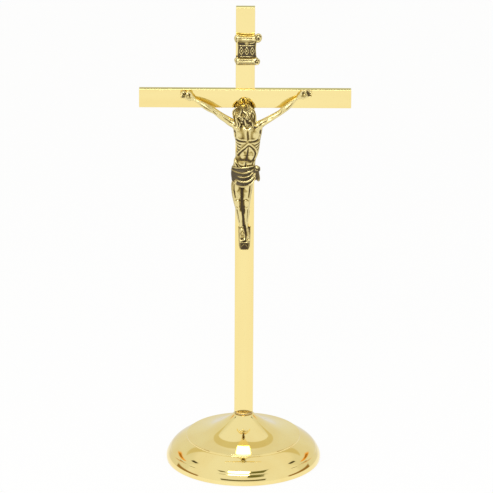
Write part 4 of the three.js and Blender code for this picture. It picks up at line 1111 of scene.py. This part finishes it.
def makePin(node, x, seat, end, z):
    bm = bmesh.new()
    made = bmesh.ops.create_uvsphere(bm, u_segments=28, v_segments=20, radius=1)
    radius = pins["headRadius"]
    bmesh.ops.scale(bm, vec=(radius, pins["headHeight"], radius), verts=made["verts"])
    kept = bmesh.ops.bisect_plane(
        bm, geom=list(bm.verts) + list(bm.edges) + list(bm.faces), plane_co=(0, 0, 0), plane_no=(0, 1, 0),
        clear_outer=True)
    bmesh.ops.holes_fill(bm, edges=pick(kept["geom_cut"], bmesh.types.BMEdge), sides=0)
    for vert in bm.verts:
        if vert.co.y < -0.1:
            dent = noise.noise(vert.co * 1.7 + Vector((x, 0, z)))
            vert.co += Vector((0, 1, 0)) * pins["hammering"] * dent
    bmesh.ops.translate(bm, vec=(x, seat, z), verts=bm.verts)
    thick = pins["shankRadius"]
    shank = bmesh.ops.create_cone(
        bm, cap_ends=True, segments=20, radius1=thick, radius2=thick, depth=end - seat)
    bmesh.ops.rotate(bm, cent=(0, 0, 0), matrix=Matrix.Rotation(math.pi / 2, 3, "X"), verts=shank["verts"])
    bmesh.ops.translate(bm, vec=(x, (seat + end) / 2, z), verts=shank["verts"])
    bmesh.ops.recalc_face_normals(bm, faces=bm.faces)
    mesh = meshFrom(bm, node)
    layer = mesh.attributes.new("recess", "FLOAT", "POINT")
    outward = [math.hypot(v.co.x - x, v.co.z - z) / radius for v in mesh.vertices]
    start = pins["darkFrom"]
    layer.data.foreach_set("value", [0.6 * max(0, share - start) / (1 - start) - 0.3 for share in outward])
    fitTo(mesh, (0, 0, 0))
    settle(linkMesh(node + "Head", mesh), node, figureBrass, sharp=50)


makeFootrest()
face, crossing = figure["spot"][1:]
for node, (x, z) in zip(("hand_pin_left", "hand_pin_right"), figure["palms"]):
    makePin(node, x, face - figure["palmFront"], pins["crossbarEnd"], crossing + z)
x, z = figure["footPin"]
makePin("foot_pin", x, face - figure["footPinFront"], pins["uprightEnd"], crossing + z)
print("footrest and figure's pins made")


# Title scroll: a parchment sheet whose ends roll forwards, with a plain ornament in the panel

scroll = {
    "middle": 1.2,
    "height": 369,
    "top": 10.4,  # this and the foot are counted from that height
    "foot": -8.6,
    "pin": 7.3,
    "pinSeat": -5.4,
    "voxel": 0.2,
    "groundWash": 0.34,  # the dip stays in the field behind the ornament
}


def addSheet(bm, path, low, high, thick, ripple):
    # a sheet swept from low to high in x along a path of y and z
    rows = 28
    verts = [bm.verts.new((low, y, z)) for y, z in path]
    edges = [bm.edges.new(pair) for pair in zip(verts, verts[1:])]
    for _ in range(rows):
        grown = bmesh.ops.extrude_edge_only(bm, edges=edges)
        verts = pick(grown["geom"], bmesh.types.BMVert)
        edges = pick(grown["geom"], bmesh.types.BMEdge)
        edges = [edge for edge in edges if all(v in verts for v in edge.verts)]
        bmesh.ops.translate(bm, vec=((high - low) / rows, 0, 0), verts=verts)
    bm.normal_update()
    for vert in bm.verts:
        vert.co += vert.normal * ripple * noise.noise(Vector((vert.co.x * 0.22, vert.co.z * 0.18, 2.0)))
    bmesh.ops.solidify(bm, geom=list(bm.faces), thickness=thick)


def curlStroke(x, z, wide, tall):
    # the winding cut into the end of a roll
    path = []
    for i in range(13):
        angle = 0.5 + i * 0.62
        reach = 1 - 0.066 * i
        path.append((x + wide * reach * math.cos(angle), z + tall * reach * math.sin(angle)))
    return path


def addRolls(bm, top, foot):
    middle = scroll["middle"]
    rolls = [
        [(-10.6, top + 0.9, 2.2, 2.2), (-9, top + 0.8, 3.5, 2.9), (-4, top + 0.3, 3.1, 2.8),
         (2, top + 0.2, 2.9, 2.8), (7, top + 0.8, 3.5, 3), (10.4, top + 1.6, 3.8, 2.6)],
        [(-10.2, foot - 0.3, 2.2, 2.2), (-8.6, foot, 3.5, 3.1), (-3, foot - 0.2, 3.2, 3.1),
         (4, foot - 0.1, 3.2, 3.1), (8.4, foot + 0.3, 3.5, 3), (10.2, foot + 0.5, 2.4, 2.2)]]
    for roll in rolls:
        addLimb(bm, [(middle + x, -6.2, z, wide, deep) for x, z, wide, deep in roll], 26, 44)
    curls = [(middle + 9.4, top + 1.4, 3.3, 4.1), (middle + 8.6, foot - 0.2, 2.6, 3)]
    for x, z, wide, tall in curls:
        addBall(bm, (x, -7.2, z), (wide, 2.5, tall), lean=0.2)
    addLimb(bm, [(middle + 7, -7.6, top - 1.8, 0.8, 0.8), (middle + 3.6, -7.2, top - 3, 0.8, 0.8),
                 (middle + 2.2, -6.2, top - 3.4, 0.6, 0.6)], 10, 16)
    return curls


def addOrnament(bm):
    # a boss under the pin, then three lozenges between two ruled lines
    middle = scroll["middle"]
    height = scroll["height"]
    addBall(bm, (middle, -4.9, height + scroll["pin"]), (2.5, 1.2, 2.5))
    for z in (height + 4.6, height - 4.9):
        addLimb(bm, [(middle - 7, -5.3, z + 0.2, 0.36, 0.5), (middle, -5.3, z - 0.15, 0.36, 0.5),
                     (middle + 6.9, -5.3, z + 0.1, 0.36, 0.5)], 8, 40)
    for i in (-1, 0, 1):
        centre = Vector((middle + i * 4.6, -5.3, height - 0.2))
        corners = [Vector((0, 0, 3.5)), Vector((1.8, 0, 0)), Vector((0, 0, -3.5)), Vector((-1.8, 0, 0))]
        for a, b in zip(corners, corners[1:] + corners[:1]):
            addLimb(bm, [(*(centre + a), 0.45, 0.65), (*(centre + b), 0.45, 0.65)], 8, 12)
        addBall(bm, centre, (0.7, 0.75, 1))


def scrollStrokes(curls, top, foot):
    middle = scroll["middle"]
    strokes = [(curlStroke(x, z, wide * 0.78, tall * 0.78), 0.6, -0.9) for x, z, wide, tall in curls]
    strokes += [([(x, z - 0.2)], 1.2, -1.4) for x, z, wide, tall in curls]
    for z, reach in ((top, 3.2), (foot, 3)):
        strokes += [([(middle - 8.2, z + reach), (middle - 9.1, z), (middle - 8.2, z - reach)], 0.6, -0.5),
                    ([(middle - 7, z + 1.5), (middle, z + 1.2), (middle + 6, z + 1.7)], 0.5, -0.3),
                    ([(middle - 6.6, z - 1.4), (middle + 1, z - 1.7), (middle + 6.2, z - 1.1)], 0.5, -0.3)]
    return strokes


def makeScroll():
    middle = scroll["middle"]
    height = scroll["height"]
    top = height + scroll["top"]
    foot = height + scroll["foot"]
    bm = bmesh.new()
    path = [(-3.0, top + 0.5 - i * (top - foot + 1) / 12) for i in range(13)]
    addSheet(bm, path, middle - 8.2, middle + 8.2, 2.2, 0.25)
    for vert in bm.verts:  # the sides draw in between the rolls
        share = max(0, min(1, (vert.co.z - foot) / (top - foot)))
        vert.co.x = middle + (vert.co.x - middle) * (1.05 - 0.11 * math.sin(math.pi * share))
    curls = addRolls(bm, top, foot)
    addOrnament(bm)
    mesh = fuse(bm, "scroll", scroll["voxel"], 2)
    press(mesh, scrollStrokes(curls, top, foot))
    spots = readSpots(mesh)
    spots[:, 1] = np.minimum(spots[:, 1], -3)  # flat where it lies on the upright
    writeSpots(mesh, spots)
    ground = (spots[:, 1] > -5.65) & (abs(spots[:, 2] - height) < 7)
    darkening = scroll["groundWash"] * ground
    scales = [(3, 0.04, 0.3), (16, 0.16, 0.5), (60, 0.5, 0.6)]
    finishCasting(mesh, "titleScroll", "title_scroll", scrollBrass, scales, darkening=darkening)


makePin(
    "scroll_pin", scroll["middle"], scroll["pinSeat"], pins["uprightEnd"], scroll["height"] + scroll["pin"])
makeScroll()
print("scroll and its pin made")


# The hidden fittings keep their CAD shapes

for name, material in (("base_weight", iron), ("base_plate", steel), ("foot_stud", steel),
                       ("clamp_washer", steel), ("clamp_nut", steel)):
    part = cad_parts[name]
    for place in part.material_slots:
        place.material = material


# Plain pale studio

studio = {
    "floor": 0.93,
    "floorReach": 15,
    "floorGlow": 0.92,
    "backFloor": (0.0, 0.12, 0.78),  # what the metal sees of it dims behind the cross, down to this share
    "day": (0.90, 0.90, 0.88),
    "canopy": (0.70, 0.64, 0.42),  # a warm screen high up behind, curved at both edges
    "canopyLow": (0.768, -0.50, 0.33),
    "canopyHigh": (0.987, -0.62, 0.0),
    # what else stands round the cross: ranges of a direction's x, y and z, softness and colour
    "around": [
        ((-1.1, 1.1), (0.05, 1.1), (-0.05, 0.72), 0.06, (0.8, 0.8, 0.74)),
        ((-0.08, 0.08), (0.8, 1.1), (0.26, 0.4), 0.02, (0.56, 0.59, 0.44)),
        ((0.1, 0.46), (-1.1, -0.2), (0.6, 0.84), 0.02, (0.16, 0.16, 0.05)),
        ((-0.5, -0.38), (-1.1, -0.2), (0.66, 0.78), 0.02, (0.16, 0.14, 0.05)),
        ((-0.52, 0.52), (-1.1, -0.5), (0.27, 0.44), 0.02, (0.15, 0.13, 0.05)),
    ],
    "sides": [  # the same on the left and on the right
        ((0.62, 0.86), (0.28, 1.1), (0.36, 0.48), 0.03, (0.9, 0.42, 0.06)),
        ((0.66, 0.78), (0.34, 1.1), (0.39, 0.46), 0.02, (0.42, 0.17, 0.02)),
        ((0.66, 0.73), (0.12, 0.28), (0.64, 0.74), 0.015, (0.05, 0.04, 0.01)),
        ((0.86, 1.1), (-0.35, 0.4), (0.02, 0.22), 0.03, (0.34, 0.2, 0.06)),
    ],
    "softbox": {"spot": (-0.145, -0.975, 1.13), "aim": (0, 0, 0.03), "size": (0.7, 0.4), "power": 7},
}


def multiply(tree, values):
    product = values[0]
    for value in values[1:]:
        product = addMath(tree, "MULTIPLY", product, value)
    return product


def studioFloor():
    bm = bmesh.new()
    bmesh.ops.create_grid(bm, x_segments=1, y_segments=1, size=studio["floorReach"])
    floor = linkMesh("floor", meshFrom(bm, "floor"))
    material = bpy.data.materials.new("paleFloor")
    material.use_nodes = True
    tree = material.node_tree
    tree.nodes.clear()
    near, far, dim = studio["backFloor"]
    parts = addNode(tree, "ShaderNodeSeparateXYZ", {}, {0: objectSpot(tree)})
    path = addNode(tree, "ShaderNodeLightPath")
    unseen = addMath(tree, "SUBTRACT", 1, path.outputs["Is Camera Ray"])
    behind = multiply(tree, [spread(tree, parts.outputs["Y"], near, far, 0, 1), unseen])
    grain = addNoise(tree, objectSpot(tree), 6, 2)
    full = studio["floor"]
    shade = blendColours(tree, grain, (full,) * 3 + (1,), (full * 0.985,) * 3 + (1,))
    matt = addNode(tree, "ShaderNodeBsdfDiffuse", {}, {"Color": shade})
    lit = blendColours(tree, behind, (1, 1, 1, 1), (dim, dim, dim, 1))
    glow = addNode(tree, "ShaderNodeEmission", {}, {"Color": lit, "Strength": 1.0})
    seen = addMath(tree, "MAXIMUM", path.outputs["Is Camera Ray"], path.outputs["Is Glossy Ray"])
    seen = addMath(tree, "MAXIMUM", seen, path.outputs["Is Transmission Ray"])
    share = addMath(tree, "MULTIPLY", seen, studio["floorGlow"])
    mix = addNode(tree, "ShaderNodeMixShader", {}, {0: share})
    tree.links.new(matt.outputs[0], mix.inputs[1])
    tree.links.new(glow.outputs[0], mix.inputs[2])
    out = addNode(tree, "ShaderNodeOutputMaterial")
    tree.links.new(mix.outputs[0], out.inputs["Surface"])
    floor.data.materials.append(material)


def patch(tree, axes, ranges, soft):
    # one inside a box of directions, nought outside it
    edges = []
    for axis, (low, high) in zip(axes, ranges):
        edges.append(spread(tree, axis, low - soft, low + soft, 0, 1))
        edges.append(spread(tree, axis, high - soft, high + soft, 1, 0))
    return multiply(tree, edges)


def over(tree, side, curve):
    # a bent edge: its height at the middle, then how it runs out to the sides
    start, slope, bow = curve
    line = addMath(tree, "MULTIPLY_ADD", side, bow, slope)
    return addMath(tree, "MULTIPLY_ADD", side, line, start)


def studioWorld():
    world = bpy.data.worlds.new("studio")
    world.use_nodes = True
    tree = world.node_tree
    tree.nodes.clear()
    way = addNode(tree, "ShaderNodeTexCoord")
    parts = addNode(tree, "ShaderNodeSeparateXYZ", {}, {0: way.outputs["Generated"]})
    x, y, z = parts.outputs
    side = addMath(tree, "ABSOLUTE", x)
    colour = (*studio["day"], 1)
    for axes, places in (((x, y, z), studio["around"]), ((side, y, z), studio["sides"])):
        for *ranges, soft, paint in places:
            colour = blendColours(tree, patch(tree, axes, ranges, soft), colour, (*paint, 1))
    above = addMath(tree, "SUBTRACT", z, over(tree, side, studio["canopyLow"]))
    below = addMath(tree, "SUBTRACT", over(tree, side, studio["canopyHigh"]), z)
    inside = multiply(tree, [
        spread(tree, above, -0.012, 0.012, 0, 1), spread(tree, below, -0.008, 0.02, 0, 1),
        spread(tree, y, 0.0, 0.05, 0, 1)])
    colour = blendColours(tree, inside, colour, (*studio["canopy"], 1))
    room = addNode(tree, "ShaderNodeBackground", {}, {"Color": colour, "Strength": 1.0})
    white = addNode(tree, "ShaderNodeBackground", {}, {"Color": (1, 1, 1, 1), "Strength": 1.0})
    path = addNode(tree, "ShaderNodeLightPath")
    mix = addNode(tree, "ShaderNodeMixShader", {}, {0: path.outputs["Is Camera Ray"]})
    tree.links.new(room.outputs[0], mix.inputs[1])
    tree.links.new(white.outputs[0], mix.inputs[2])
    out = addNode(tree, "ShaderNodeOutputWorld")
    tree.links.new(mix.outputs[0], out.inputs["Surface"])
    scene.world = world


def softbox(name, spot, aim, size, power):
    data = bpy.data.lights.new(name, "AREA")
    data.shape = "RECTANGLE"
    data.size, data.size_y = size
    data.energy = power
    lamp = bpy.data.objects.new(name, data)
    scene.collection.objects.link(lamp)
    lamp.location = spot
    lamp.rotation_euler = (Vector(aim) - Vector(spot)).to_track_quat("-Z", "Y").to_euler()
    lamp.visible_camera = False


studioFloor()
studioWorld()
softbox("frontBox", **studio["softbox"])
scene.view_settings.view_transform = "Standard"
print("studio made")
